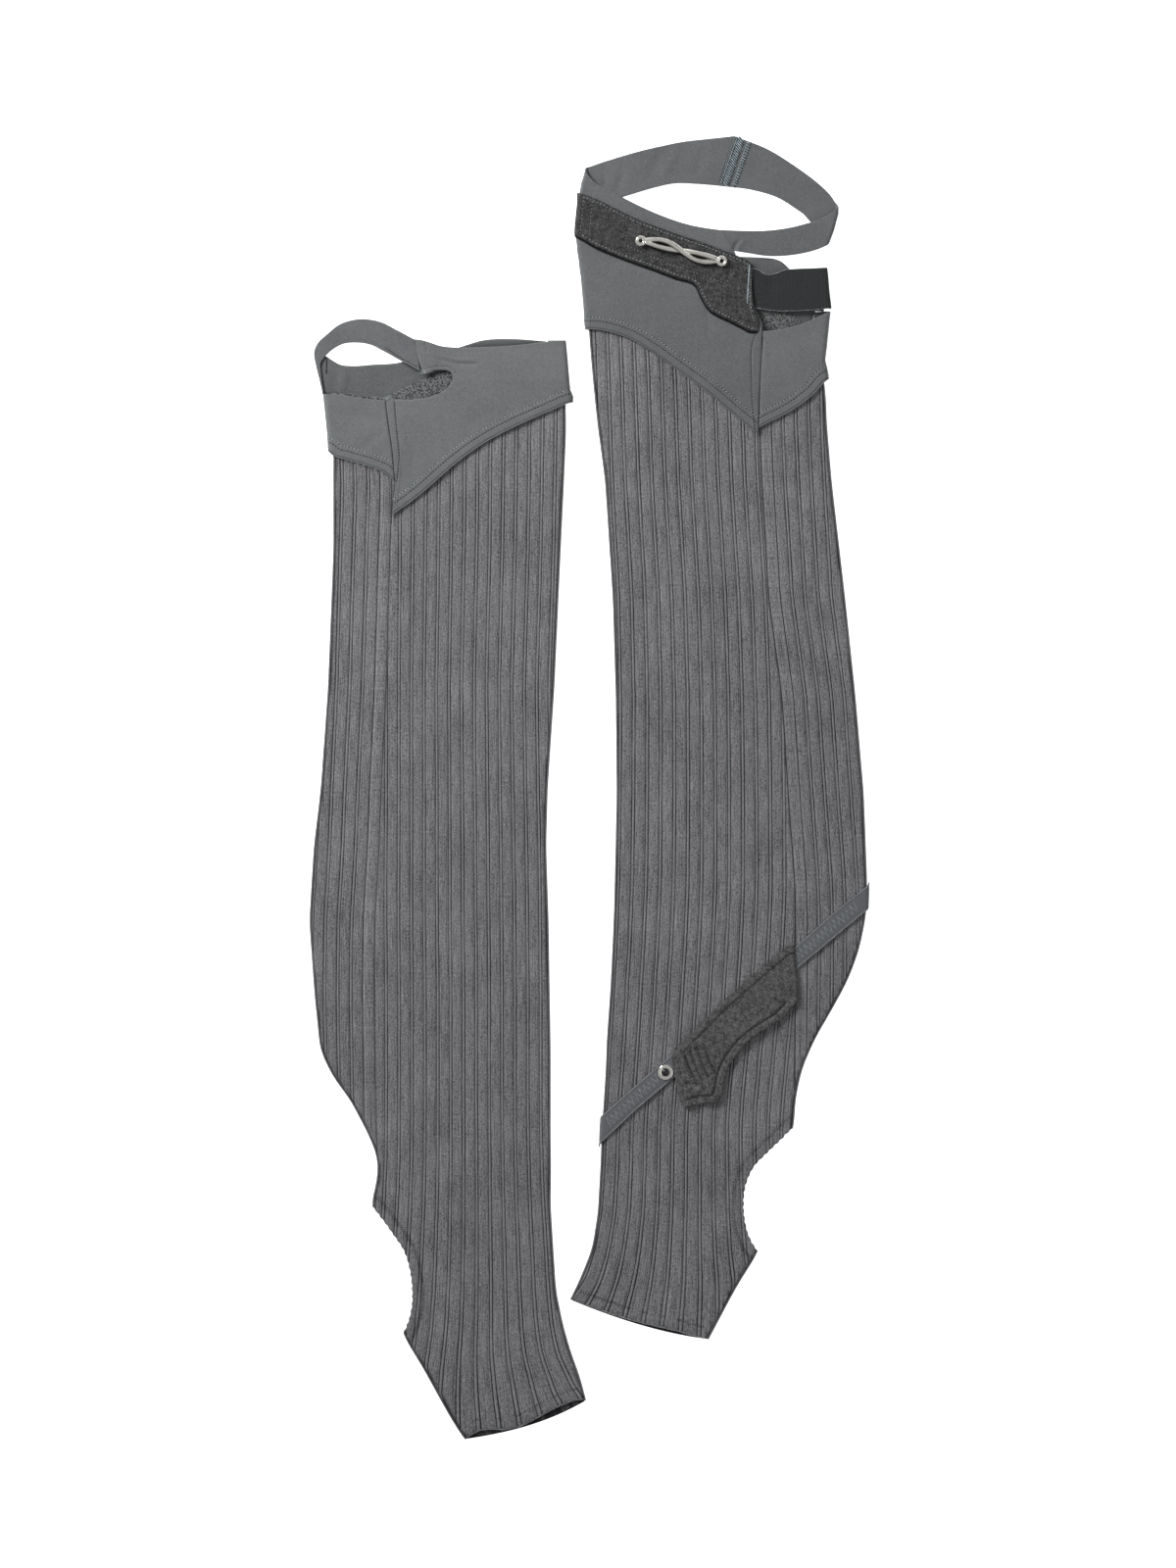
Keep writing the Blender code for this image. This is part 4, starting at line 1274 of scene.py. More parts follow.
@dataclass
class Sewing:
    """Many small stitches, loops or hairs joined in one mesh."""

    name: str
    slot: str
    material: Material
    seed: int
    grain: Grain = Grain.STITCH

    def __post_init__(self) -> None:
        """Makes the one form that is repeated."""
        bm = bmesh.new()
        if self.grain is Grain.STITCH:
            bmesh.ops.create_uvsphere(bm, u_segments=6, v_segments=5, radius=0.5)
            for vert in bm.verts:
                vert.co = vert.co.zxy
        elif self.grain is Grain.LOOP:
            bmesh.ops.create_circle(bm, segments=4, radius=0.16)
            for vert in bm.verts:
                vert.co = Vector((vert.co.x + 0.42, 0.0, vert.co.y))
            bmesh.ops.rotate(bm, verts=bm.verts, cent=(0, 0, 0),
                             matrix=Matrix.Rotation(math.pi / 2, 3, "Z"))
            bmesh.ops.spin(bm, geom=bm.verts[:] + bm.edges[:], cent=(0, 0, 0), axis=(0, 1, 0),
                           angle=math.pi, steps=6)
            bmesh.ops.holes_fill(bm, edges=[edge for edge in bm.edges if edge.is_boundary])
        else:
            bmesh.ops.create_cone(bm, cap_ends=True, segments=3, radius1=0.5, radius2=0.08, depth=1.0)
            for vert in bm.verts:
                vert.co = vert.co.zxy
        bmesh.ops.recalc_face_normals(bm, faces=bm.faces)
        bm.verts.layers.int.new("spot")
        part = bm.verts.layers.int.new("part")
        for i, vert in enumerate(bm.verts):
            vert[part] = i
        self.form = bm
        self.base = np.array([vert.co for vert in bm.verts])
        self.rng = np.random.default_rng(self.seed)
        self.spots: list[Array] = []

    def add(self, centres: Array, ahead: Array, up: Array, sizes: Sequence[float]) -> None:
        """Adds forms.

        Args:
            centres: where they are, in millimetres.
            ahead: which way each lies.
            up: which way is up for each.
            sizes: their length, width and height.
        """
        ahead = unit(ahead)
        across = unit(np.cross(up, ahead))
        top = np.cross(ahead, across)
        varied = np.array(sizes)[None] * self.rng.uniform(0.88, 1.12, (len(centres), 3))
        for centre, a, b, c, size in zip(centres, ahead, across, top, varied):
            self.spots.append(centre + self.base @ (np.stack([a, b, c]) * size[:, None]))

    def along(self, on: Callable[[Array, float], Array], path: Array, stitch: Stitch,
              cuts: Sequence[Array] = ()) -> None:
        """Adds a row of forms along a path on a piece.

        Args:
            on: places points of the flat piece on it, a distance out.
            path: the path on the flat piece.
            stitch: the kind of stitch.
            cuts: outlines of what is cut away, where none goes.
        """
        pitch, out, turn = stitch.pitch, stitch.out, stitch.turn
        curve = Curve.through(path)
        where = np.arange(stitch.start * pitch, curve.length, pitch)
        if len(where) == 0:
            return
        where = where + self.rng.uniform(-0.06, 0.06, len(where)) * pitch
        where = np.clip(where, 0.05, curve.length - 0.05)
        for cut in cuts:
            where = where[~is_inside(curve.at(where)[:, :2], cut)]
        before, here, after = (curve.at(where + step)[:, :2] for step in (-0.05, 0.0, 0.05))
        run = unit(after - before)
        side = leftward(run)
        here = here + side * stitch.shift
        heading = run * math.cos(turn) + side * math.sin(turn)
        centres = on(here, out)
        self.add(centres, on(here + heading * 0.1, out) - centres, on(here, out + 0.1) - centres,
                 (stitch.length, stitch.width, stitch.height))

    def build(self) -> Piece:
        """Joins all the forms in one piece.

        Returns:
            The piece.
        """
        bm = self.form
        spot, part = bm.verts.layers.int["spot"], bm.verts.layers.int["part"]
        made = 1
        while made < len(self.spots):
            wanted = min(made, len(self.spots) - made)
            faces = [face for face in bm.faces if face.verts[0][spot] < wanted]
            near = {item for face in faces for item in (*face.verts, *face.edges)}
            copies = bmesh.ops.duplicate(bm, geom=[*faces, *near])["geom"]
            for copy in copies:
                if isinstance(copy, bmesh.types.BMVert):
                    copy[spot] += made
            made += wanted
        places = metres(np.stack(self.spots))
        for vert in bm.verts:
            vert.co = places[vert[spot], vert[part]]
        return finish_piece(self.name, bm, self.material)


# ------------------------------------------------------------------------------ legs

# Places in one repeat of the rib and heights there, as shares of a rib's height
REPEAT = (
    (0, 0.66), (0.06, 0.5), (0.095, 0), (0.125, 0), (0.165, 0.66), (0.25, 0.9), (0.5, 1), (0.75, 0.9),
    (0.835, 0.68), (0.875, 0.1), (0.905, 0.1), (0.94, 0.52),
)
PITCH = 9.5
SEAM_ROOM = 0.6           # how near the seam a column of the front comes
SIDE_FIRST = 7.4
SIDE_PITCH = 9.6
SIDE_REPEATS = 6
FOLD_TURNS = 6
UNDER_REPEATS = 17
UNDER_PROFILE = ((0.0, 0.4), (0.3, 0.0), (0.7, 0.0))
DIP_REACH = 30.0          # how far from the foot its rings bow
SAG_REACH = 16.0          # how far from the foot its hem sags
LIP_REACH = 1.6           # how far from the foot its edge rounds over
HEM = 6.5
HEEL_HEM = 7.2


class Uneven(NamedTuple):
    """How far and how often a cut edge of the knit goes in and out."""

    depth: float
    length: float
    spacing: float


UNEVEN = Uneven(0.35, 5.3, 1.3)


@dataclass
class Leg:
    """The ribbed tube of one leg, with its heel opening and its foot hem."""

    name: str
    node: str
    rings: tuple[Ring, ...]
    levels: Levels
    repeats: int
    side: int
    heel: Points
    gaps: tuple[Gap, ...]
    creases: Creases
    sag: float
    bow: float = 3.0
    row_step: float = 5.6
    fine_step: float = 2.6

    def row_places(self, table: Array, places: Array) -> Array:
        """Where the rows of the mesh are, close together round the heel and at the ends.

        Args:
            table: the leg's rings.
            places: how far from the top each is.

        Returns:
            How far from the top each row is.
        """
        middle = table[:, [1, 3]].mean(axis=1)
        heel = np.array(self.heel)[:, 1]
        low, high = heel.min() - 6.0, heel.max() + 6.0
        found, at = [0.0, 0.35, 0.9], 2.0
        last = places[-1]
        while at < last - 2.4:
            found.append(at)
            y = np.interp(at, places, middle)
            at += self.fine_step if low < y < high else self.row_step
        return np.array(found + [last - 1.6, last - 0.8, last - 0.3, last])

    def rows(self) -> Array:
        """The rings of the mesh, on smooth curves through those of the table.

        Returns:
            The columns of the rings' table, for each row.
        """
        table = np.array(self.rings)
        middle = table[:, [1, 3]].mean(axis=1)
        places = np.concatenate([[0.0], np.cumsum(np.abs(np.diff(middle)))])
        wanted = self.row_places(table, places)
        room = np.minimum(wanted, places[-1] - wanted)
        total = np.zeros((len(wanted), table.shape[1]))
        offsets = (-1.0, -0.5, 0.0, 0.5, 1.0)
        for offset in offsets:
            at = wanted + offset * np.minimum(room, 7.0)
            total += np.stack([np.interp(at, places, column) for column in table.T], axis=1)
        self.from_foot = places[-1] - wanted
        self.from_top = wanted
        return total / len(offsets)

    def columns(self) -> tuple[list, list]:
        """Places of the front's columns.

        Returns:
            For the main front (share from the first to the last thin rib, height, place on the cloth)
            and for the side (distance past the seam, height, place on the cloth).
        """
        main = [((i + place) / self.repeats, height, (i + place) * PITCH)
                for i in range(-1, self.repeats + 1) for place, height in REPEAT]
        side = [(0.6, 0.8, 0.6), (3.4, 0.85, 3.0)]
        side += [(SIDE_FIRST + (i + place) * SIDE_PITCH, height, (i + place) * PITCH)
                 for i in range(SIDE_REPEATS) for place, height in REPEAT]
        return main, side

    def front_columns(self, start: Array, end: Array, seam: Array, first: Array,
                      last: Array) -> tuple[Array, Array, Array]:
        """The front's columns on the mesh's rows.

        Args:
            start: the x where each row starts.
            end: the x where it ends.
            seam: the x of its seam.
            first: the x of its first thin rib.
            last: the x of its last thin rib.

        Returns:
            Their x and height on each row, and their places on the cloth.
        """
        main, side = self.columns()
        near = []
        for share, height, u in main:
            x = first + (last - first) * share
            room = (seam - x) * self.side
            near.append((np.where(room <= SEAM_ROOM, seam - self.side * SEAM_ROOM, x), height, u))
        far = [(seam + self.side * distance, height, u) for distance, height, u in side]
        middle = [(seam, 0.0, 0.0)]
        xs, heights, cloth = zip(*(far[::-1] + middle + near if self.side < 0 else near + middle + far))
        xs = np.clip(np.hstack([start, *xs, end]), start, end)
        inland = smooth_step(np.minimum(xs - start, end - xs), 0.0, 1.4)
        near_seam = 0.1 + 0.9 * smooth_step(np.abs(xs - seam), 0.0, 0.5)
        heights = np.array([0.0, *heights, 0.0])[None] * inland * near_seam
        return xs, heights, np.array([cloth[0], *cloth, cloth[-1]])[None]

    @staticmethod
    def under_columns() -> tuple[Array, Array]:
        """The underside's columns: shares of the way from the right fold to the left, and heights."""
        ribs = [(i + place, lift) for i in range(UNDER_REPEATS) for place, lift in UNDER_PROFILE]
        shares, lifts = zip(*ribs, (UNDER_REPEATS, 0.0))
        return np.array([shares]) / UNDER_REPEATS, np.array([lifts])

    def near_foot(self, reach: float) -> Array:
        """1 on the row at the foot, sinking to 0 this far from it."""
        return (1.0 - smooth_step(self.from_foot, 0.0, reach))[:, None]

    def grid(self) -> tuple[Array, Array, Array, Array]:
        """The mesh's points.

        Returns:
            Outer and inner points, places on the cloth and lightness, by row and column.
        """
        rings = self.rows()
        rise = knit_rise(self.levels)
        radius = KNIT_HEIGHT / 2
        left_x, left_y, right_x, right_y, seam, first, last = (rings[:, [k]] for k in range(7))
        start, end = left_x + radius, right_x - radius
        dip, sunk = self.bow * self.near_foot(DIP_REACH), self.near_foot(SAG_REACH)

        def height_at(x: Array) -> Array:
            """The y of the rings at x, bowed, and sagging at the foot.

            Args:
                x: places across the rings.

            Returns:
                The y of each.
            """
            share = (x - left_x) / (right_x - left_x)
            bowed = (dip + self.sag * sunk * (0.4 + share)) * 4 * share * (1 - share)
            return left_y + (right_y - left_y) * share - bowed
        xs, heights, cloth = self.front_columns(start, end, seam, first, last)
        inland = np.minimum(xs - start, end - xs)
        gap = np.interp(xs, [g.x for g in self.gaps], [g.depth for g in self.gaps])
        y = height_at(xs) + gap * sunk
        flat = np.stack([xs, y], axis=2).reshape(-1, 2)
        soft = Relief(self.creases, waves=0.18, seed=3).folds(flat).reshape(xs.shape) - 0.1
        soft = np.clip(soft, -0.42, 0.0) * smooth_step(inland, 0.0, 8.0)
        hem = 1.0 - smooth_step(self.from_foot, HEM - 0.8, HEM + 0.8)[:, None]
        line = np.exp(-((self.from_foot - HEM - 0.6) / 0.9) ** 2)[:, None]
        lip = self.near_foot(LIP_REACH)
        heel = distance_to(flat, arc(*self.heel)).reshape(xs.shape)
        turned = 1.0 - smooth_step(heel, HEEL_HEM - 1.5, HEEL_HEM + 1.0)
        base = rise(y) + KNIT_HEIGHT + soft + 0.3 * turned
        top = base + heights * RIB + 0.22 * hem - 0.3 * line - 0.75 * lip
        front = np.stack([xs, y, top], axis=2)
        front_inner = np.stack([xs, y, base - KNIT_WALL + 0.1 * lip], axis=2)
        # painted shade: darker down the rib grooves, along the hem's stitch line and along the heel's hem
        # line
        tone = np.clip((heights + 0.05) / 0.7, 0.0, 1.0) - 0.25 * line
        tone = tone - 0.3 * np.exp(-(((heel - HEEL_HEM) / 1.3) ** 2))
        self.hem = front[-1, 2:-2, :2]
        turns = [math.pi * (i + 1) / (FOLD_TURNS + 1) for i in range(FOLD_TURNS)]
        right, right_inner = self.fold(end, right_y, 1.0, turns)
        left, left_inner = self.fold(start, left_y, -1.0, turns[::-1])
        under_share, lift = self.under_columns()
        x = end + (start - end) * under_share
        y = height_at(x)
        under = np.stack([x, y, rise(y) + lift + 0.3 * lip], axis=2)
        under_inner = np.stack([x, y, rise(y) + KNIT_WALL], axis=2)
        outer = np.hstack([front, right, under, left, front[:, :1]])
        inner = np.hstack([front_inner, right_inner, under_inner, left_inner, front_inner[:, :1]])
        rows, columns = outer.shape[:2]
        past = np.arange(1, FOLD_TURNS + 1)[None] * 0.7
        u = np.hstack([cloth, cloth[:, -1:] + past, 200.0 + under_share * UNDER_REPEATS * PITCH,
                       380.0 + past, cloth[:, :1]])
        u = np.broadcast_to(u, (rows, columns))
        v = np.broadcast_to(self.from_top[:, None], (rows, columns))
        ones = np.ones((rows, FOLD_TURNS))
        # the underside is painted darker where its ribs rise
        under_tone = np.broadcast_to(1.0 - lift * 1.6, (rows, lift.shape[1]))
        tones = np.hstack([tone, ones, under_tone, ones, tone[:, :1]])
        return outer, inner, np.stack([u, v], axis=2), np.clip(tones, 0.0, 1.0)

    def fold(self, corner: Array, fold_y: Array, side: float,
             turns: list[float]) -> tuple[Array, Array]:
        """Points round a fold, outside and inside, in small steps.

        Args:
            corner: the x where the fold starts.
            fold_y: the y of its rings.
            side: 1 on the right, -1 on the left.
            turns: how far round its columns are.

        Returns:
            Outer and inner points, by row and column.
        """
        rise = knit_rise(self.levels)(fold_y)
        radius = KNIT_HEIGHT / 2
        outer, inner = [], []
        for turn in turns:
            for points, reach in ((outer, radius), (inner, KNIT_HOLLOW / 2)):
                points.append(np.hstack([corner + side * reach * math.sin(turn), fold_y,
                                         rise + radius + reach * math.cos(turn)]))
        return np.stack(outer, axis=1), np.stack(inner, axis=1)

    def build(self, material: Material) -> None:
        """Makes the knitted tube and cuts its heel opening.

        Args:
            material: the knit's finish.
        """
        outer, inner, cloth, tone = self.grid()
        rows, columns = outer.shape[:2]
        bm = bmesh.new()
        slot = bm.verts.layers.int.new("slot")
        lightness = bm.verts.layers.float.new("tone")
        inside = bm.verts.layers.float_vector.new("inner")
        uv = bm.loops.layers.uv.new("cloth")
        made = bmesh.ops.create_grid(bm, x_segments=columns - 1, y_segments=rows - 1, size=1.0)["verts"]
        places = cloth.reshape(-1, 2)
        points = zip(made, outer.reshape(-1, 3), inner.reshape(-1, 3), tone.reshape(-1))
        for i, (vert, point, deep, light) in enumerate(points):
            vert.co, vert[inside], vert[lightness], vert[slot] = point, deep, light, i
        for face in bm.faces:
            for loop in face.loops:
                loop[uv].uv = places[loop.vert[slot]]
        bmesh.ops.remove_doubles(bm, verts=bm.verts, dist=1e-4)
        edge = arc(*self.heel, spacing=UNEVEN.spacing)
        wave = np.sin(np.arange(len(edge)) * UNEVEN.spacing * math.tau / UNEVEN.length)
        edge = edge + (edge - beside(edge, 1.0)) * UNEVEN.depth * wave[:, None]
        cut_along(bm, edge, Keep.OUTSIDE, 4.0)
        rim = [vert for vert in bm.verts if vert.is_boundary]
        near = {id(vert) for vert in rim}
        outer_points, inner_points = [], []
        for i, vert in enumerate(bm.verts):
            co, deep = np.array(vert.co), np.array(vert[inside])
            if id(vert) in near:
                co, deep = co + (deep - co) * 0.3, deep + (co - deep) * 0.2
            vert[slot] = i
            outer_points.append(co)
            inner_points.append(deep)
        # the inner side keeps a tenth of the painted light: painted shade inside the tube
        close_shell(bm, metres(np.array(outer_points)), metres(np.array(inner_points)), 0.1)
        self.piece = finish_piece(self.name, bm, material, self.node)
        rings = np.array(self.rings)
        widths = 2 * (rings[:, 2] - rings[:, 0])
        middle = rings[:, [1, 3]].mean(axis=1)
        area = float(np.sum((widths[1:] + widths[:-1]) / 2 * np.abs(np.diff(middle))))
        length = float(middle[0] - middle[-1])
        self.flat = (float(widths.max()) * MM, length * MM)
        self.area = area * MM * MM

    def on(self, flat: Array, out: float = 0.0) -> Array:
        """Points just over the ribs of the front."""
        y = flat[:, 1]
        return np.stack([flat[:, 0], y, knit_rise(self.levels)(y) + KNIT_HEIGHT + RIB + out], axis=1)

    def sew(self, finishes: Finishes, seed: int) -> list[Piece]:
        """Sews the foot's hem and the hem of the heel opening.

        Args:
            finishes: the garment's finishes.
            seed: which small variations the stitches get.

        Returns:
            The rows of stitches.
        """
        light = Sewing(self.name + "_edging", "rib_knit", finishes.light, seed)
        dark = Sewing(self.name + "_stitches", "rib_knit", finishes.dark, seed + 1)
        hem = self.hem[np.argsort(self.hem[:, 0])]
        hem = resample(hem[np.r_[True, np.diff(hem[:, 0]) > 0.05]], 90)
        light.along(self.on, hem, Stitch(1.25, 1.5, 0.9, 0.8, -1.1, 0.5))
        for distance, length in ((7.6, 1.3), (8.6, 1.04)):
            dark.along(self.on, beside(hem, distance)[3:-3], Stitch(1.9, length, 0.7, 0.3, -0.1, 0.3))
        heel = arc(*self.heel)
        for distance, length in ((HEEL_HEM, 1.2), (HEEL_HEM + 1.3, 0.96)):
            row = beside(heel, -self.side * distance)
            row = row[((row[:, 0] - self.fold_at(row[:, 1])) * self.side) < -3.0]
            dark.along(self.on, row, Stitch(1.9, length, 0.7, 0.3, 0.12, 0.5))
        return [light.build(), dark.build()]

    def fold_at(self, y: Array) -> Array:
        """The x of the fold on the heel's side, at heights y.

        Args:
            y: the heights.

        Returns:
            The x of each.
        """
        rings = np.array(self.rings)[::-1]
        x, at = (rings[:, 2], rings[:, 3]) if self.side > 0 else (rings[:, 0], rings[:, 1])
        return np.interp(y, at, x)

    def declare(self, rests_on: Sequence[str], with_pieces: Sequence[Piece]) -> None:
        """Does nothing; the tube's flat size and area are worked out when it is built."""


# ------------------------------------------------------------------------------ yokes


HEM_LINES = (9.4, 6.4)      # the light and the dark stitch line of a jersey hem, from its edge
# the under layer's line is drawn dark: partly its edge, partly painted shade along it
HEM_UNDER = 1.25            # the line of a hem's under layer, from its edge
UPRIGHT = (0.0, 0.0, 1.0)


def hem_relief(hem: Array, seed: int, creases: Creases = (), bands: Sequence = (),
               grooves: Sequence = ()) -> Relief:
    """The relief of a jersey panel with a turned-up hem.

    Args:
        hem: the hem's edge.
        seed: which soft waves it gets.
        creases: its creases.
        bands: more raised bands, as (path, width, rise).
        grooves: more grooves, as (path, width, depth).

    Returns:
        The relief.
    """
    upper, lower = HEM_LINES
    # each line is a groove that paints shade along it, deepest along the under layer's line
    lines = [(beside(hem, upper), 0.5, 0.1), (beside(hem, lower), 0.6, 0.2),
             (beside(hem, HEM_UNDER), 0.4, 0.45)]
    return Relief(creases, [(hem, upper - 0.6, 0.3), *bands], lines + list(grooves), seed=seed)


def sew_hem(piece: Cloth, light: Sewing, dark: Sewing) -> None:
    """Sews a panel's hem with a light row, a dark row and the line of its under layer.

    Args:
        piece: the panel.
        light: where the light stitches go.
        dark: where the dark ones go.
    """
    upper, lower = HEM_LINES
    for thread, distance, stitch in (
            (light, upper, Stitch(2.6, 1.9, 0.85, 0.5, 0.12)),
            # dark grains for the needle holes between the light stitches: painted shade in holes that are
            # not cut
            (dark, upper, Stitch(2.6, 1.0, 0.8, 0.4, 0.03, start=0.0)),
            (dark, lower, Stitch(2.4, 1.7, 0.85, 0.4, 0.08, 0.15)),
            # dark grains along the under layer's line: its edge, with painted shade
            (dark, HEM_UNDER, Stitch(1.1, 1.5, 0.5, 0.36))):
        thread.along(piece.on, beside(piece.low_edge, distance), stitch, piece.cuts)


def lying(turn: Array, rise: Array) -> Array:
    """Directions that point this way round, in radians, and rise this much."""
    return np.stack([np.cos(turn), np.sin(turn), rise], axis=1)


def scatter_loops(facing: Cloth, loops: Sewing, shown: Array) -> None:
    """Scatters terry loops over the outline of what shows of a facing.

    Args:
        facing: the facing.
        loops: where the loops go.
        shown: the outline.
    """
    rng = np.random.default_rng(31)
    (low_x, low_y), (high_x, high_y) = shown.min(axis=0), shown.max(axis=0)
    x, y = np.meshgrid(np.arange(low_x, high_x, 1.0), np.arange(low_y, high_y, 0.9))
    flat = np.stack([x.ravel(), y.ravel()], axis=1) + rng.uniform(-0.4, 0.4, (x.size, 2))
    flat = flat[is_inside(flat, shown)]
    ahead = lying(rng.uniform(0, math.tau, len(flat)), rng.uniform(-0.3, 0.3, len(flat)))
    loops.add(facing.on(flat, -0.05), ahead, np.tile(UPRIGHT, (len(flat), 1)), (1.5, 1.2, 1.2))


def scatter_fray(piece: Cloth, fray: Sewing, spots: Sequence[tuple[float, float, float, int]]) -> None:
    """Lays tufts of loose thread ends on a piece, as (x, y, spread, count).

    Args:
        piece: the piece.
        fray: where the ends go.
        spots: the tufts.
    """
    rng = np.random.default_rng(32)
    for x, y, size, count in spots:
        flat = np.array([x, y]) + rng.normal(0.0, size / 2.5, (count, 2)) * np.array([1.5, 0.5])
        ahead = lying(rng.uniform(0, math.tau, count), rng.uniform(-0.2, 0.6, count))
        fray.add(piece.on(flat, 0.15), ahead, np.tile(UPRIGHT, (count, 1)), (2.4, 0.36, 0.34))


def brush(cloth: Cloth, nap: Sewing, count: int, sizes: tuple[float, float, float],
          heading: float) -> None:
    """Lays short hairs all over a piece.

    Args:
        cloth: the piece.
        nap: where the hairs go.
        count: how many there are.
        sizes: length, width and height of a hair.
        heading: the way they lie, in radians from the x axis.
    """
    rng = np.random.default_rng(nap.seed + 100)
    outline = cloth.outlines[0]
    flat = rng.uniform(outline.min(axis=0), outline.max(axis=0), (count * 4, 2))
    flat = flat[is_inside(flat, outline)][:count]
    edge = Curve.through(outline).path(1.6)
    flat = np.vstack([flat, edge + rng.uniform(-0.3, 0.3, edge.shape)])
    ahead = lying(rng.normal(heading, 0.3, len(flat)), rng.uniform(-0.05, 0.08, len(flat)))
    centres = cloth.on(flat, 0.02)
    nap.add(centres, ahead, cloth.on(flat, 1.0) - centres, sizes)


def make_facing(side: str, material: Material, outline: Points, seed: int) -> Cloth:
    """Makes the facing under a yoke's front, from its outline.

    Args:
        side: left or right.
        material: its finish.
        outline: the outline.
        seed: the seed of its relief.

    Returns:
        The facing.
    """
    facing = Cloth(side + "_yoke_facing", "terry", plate(LIFT), FACING, material,
                   (side + "_yoke_back_cloth",), Relief(waves=0.0, seed=seed), spacing=2.4)
    return facing.outline(np.array(outline)).build()


@dataclass
class LeftYoke:
    """The left leg's yoke: front, side, back, facing and loop strap."""

    front: Rows = (
        (-147, 197.6, -157, 328.5), (-122.3, 215.5, -124, 328.6), (-99, 236, -106, 323.6),
        (-76.7, 252.2, -80, 323.1), (-50.3, 266.1, -52, 324.6), (-28.4, 275.7, -33, 326.8),
        (-11.4, 282.5, -16.5, 328.3), (2.6, 282.5, -2.5, 328.3),
    )
    side: Rows = (
        (-205.4, 247.4, -209, 288.5), (-191.4, 246.5, -195, 288.5), (-187.2, 243.2, -190, 288.4),
        (-176.1, 239.7, -177, 287.4), (-159.6, 234.8, -164, 285.3), (-151.3, 231.5, -157, 284.6),
        (-144.7, 226.5, -150.5, 283.9), (-139, 221.5, -144.5, 283.4),
    )
    seam: Points = (
        (-144.6, 192), (-144.4, 199.3), (-143.4, 212), (-141.9, 224.9), (-142.9, 233.9), (-143.6, 244.7),
        (-145.1, 255.4), (-146.5, 265.3), (-148.8, 283.5), (-149.2, 288),
    )
    stitched: Points = (
        (-142.2, 283.4), (-141.4, 269.5), (-140.2, 257), (-139, 244.7), (-139.6, 232.3), (-140.9, 223),
    )
    loop: Rows = (
        (-123.6, 305.2, -127, 328.4), (-136.4, 312.4, -140.5, 335.6), (-151.3, 320.7, -153.5, 342),
        (-159.6, 324.9, -161, 343.6), (-171.9, 326.7, -172.5, 343.4), (-180.2, 325.7, -182.5, 340.2),
        (-188.5, 321.1, -192, 332.8), (-193.2, 316.6, -199, 326), (-196.6, 311.5, -201.6, 319.5),
        (-196.4, 305, -200.2, 309.5), (-195.6, 298, -197.6, 299), (-194.3, 290.6, -195.7, 290.6),
    )
    loop_lifts: tuple[float, ...] = (9.0, 3.4, 1.9, 0.8, 0.2, 0.4, 1.2, 1.6, 1.6, 1.6, 1.6, 1.6)
    slit: Points = (
        (-141.4, 284.8), (-126.5, 284.8), (-115.8, 286.8), (-107.5, 290.2), (-101.7, 295.1), (-99.4, 301.3),
        (-101.4, 304.7), (-107.5, 306.2), (-115, 305.4), (-121, 303.6), (-123, 308.3), (-126.2, 319),
        (-127.2, 331),
    )
    facing: Points = (
        (-188, 264.6), (-178, 265.2), (-28, 295.4), (-28, 319), (-72.4, 313.4), (-97, 308), (-107.5, 305.2),
        (-115, 303), (-126.5, 297.6), (-138.9, 291.8), (-149.4, 286.6), (-170, 287.6), (-176, 289),
        (-189.5, 289.4), (-189.5, 266),
    )
    facing_shown: Points = (
        (-149, 284), (-128, 282.5), (-109, 285.5), (-98.5, 295.5), (-97.5, 306.5), (-107.5, 305.2),
        (-115, 303), (-126.5, 297.6), (-138.9, 291.8),
    )
    strap_seam: Points = ((-120.3, 327.5), (-118.4, 317.4), (-118.4, 308.6))
    left: Folds = rows_of(Fold, (246.5, -190.1), (252, -190.1), (288.2, -193.7), (322, -196.5))
    right: Folds = rows_of(Fold, (282.5, -12.5), (287, -12.6), (291, -14.3), (307.7, -16), (328.3, -17.8))
    creases: Creases = rows_of(Crease,
        (-119, 317.5, -80, 311.5, -2.6, 1.3, -0.6), (-119, 320, -82, 314, -2.6, 1.5, 0.35),
        (-101, 311.5, -79, 311.8, -1.5, 1.2, -0.5), (-96, 262, -62, 276, 2, 5, -0.3),
        (-128, 262, -131, 226, 1, 4, -0.35), (-112, 270, -92, 246, 1, 6, -0.3),
    )
    loop_creases: Creases = rows_of(Crease,
        (-190, 322, -150, 332, 3, 5, -0.3), (-134, 322, -152, 330, 1, 3, 0.25),
    )
    back_creases: Creases = rows_of(Crease,
        (-180, 309, -181, 288, 1, 2.6, 0.5), (-186, 308, -187, 288, 0.5, 2.2, -0.3),
        (-170, 305, -152, 292, 1, 6, 0.3),
    )
    side_creases: Creases = rows_of(Crease,
        (-190, 274, -150, 268, 2, 4, -0.35), (-151, 262, -172, 246, 1, 4, -0.4),
        (-160, 258, -148, 240, -1, 3, -0.3),
    )

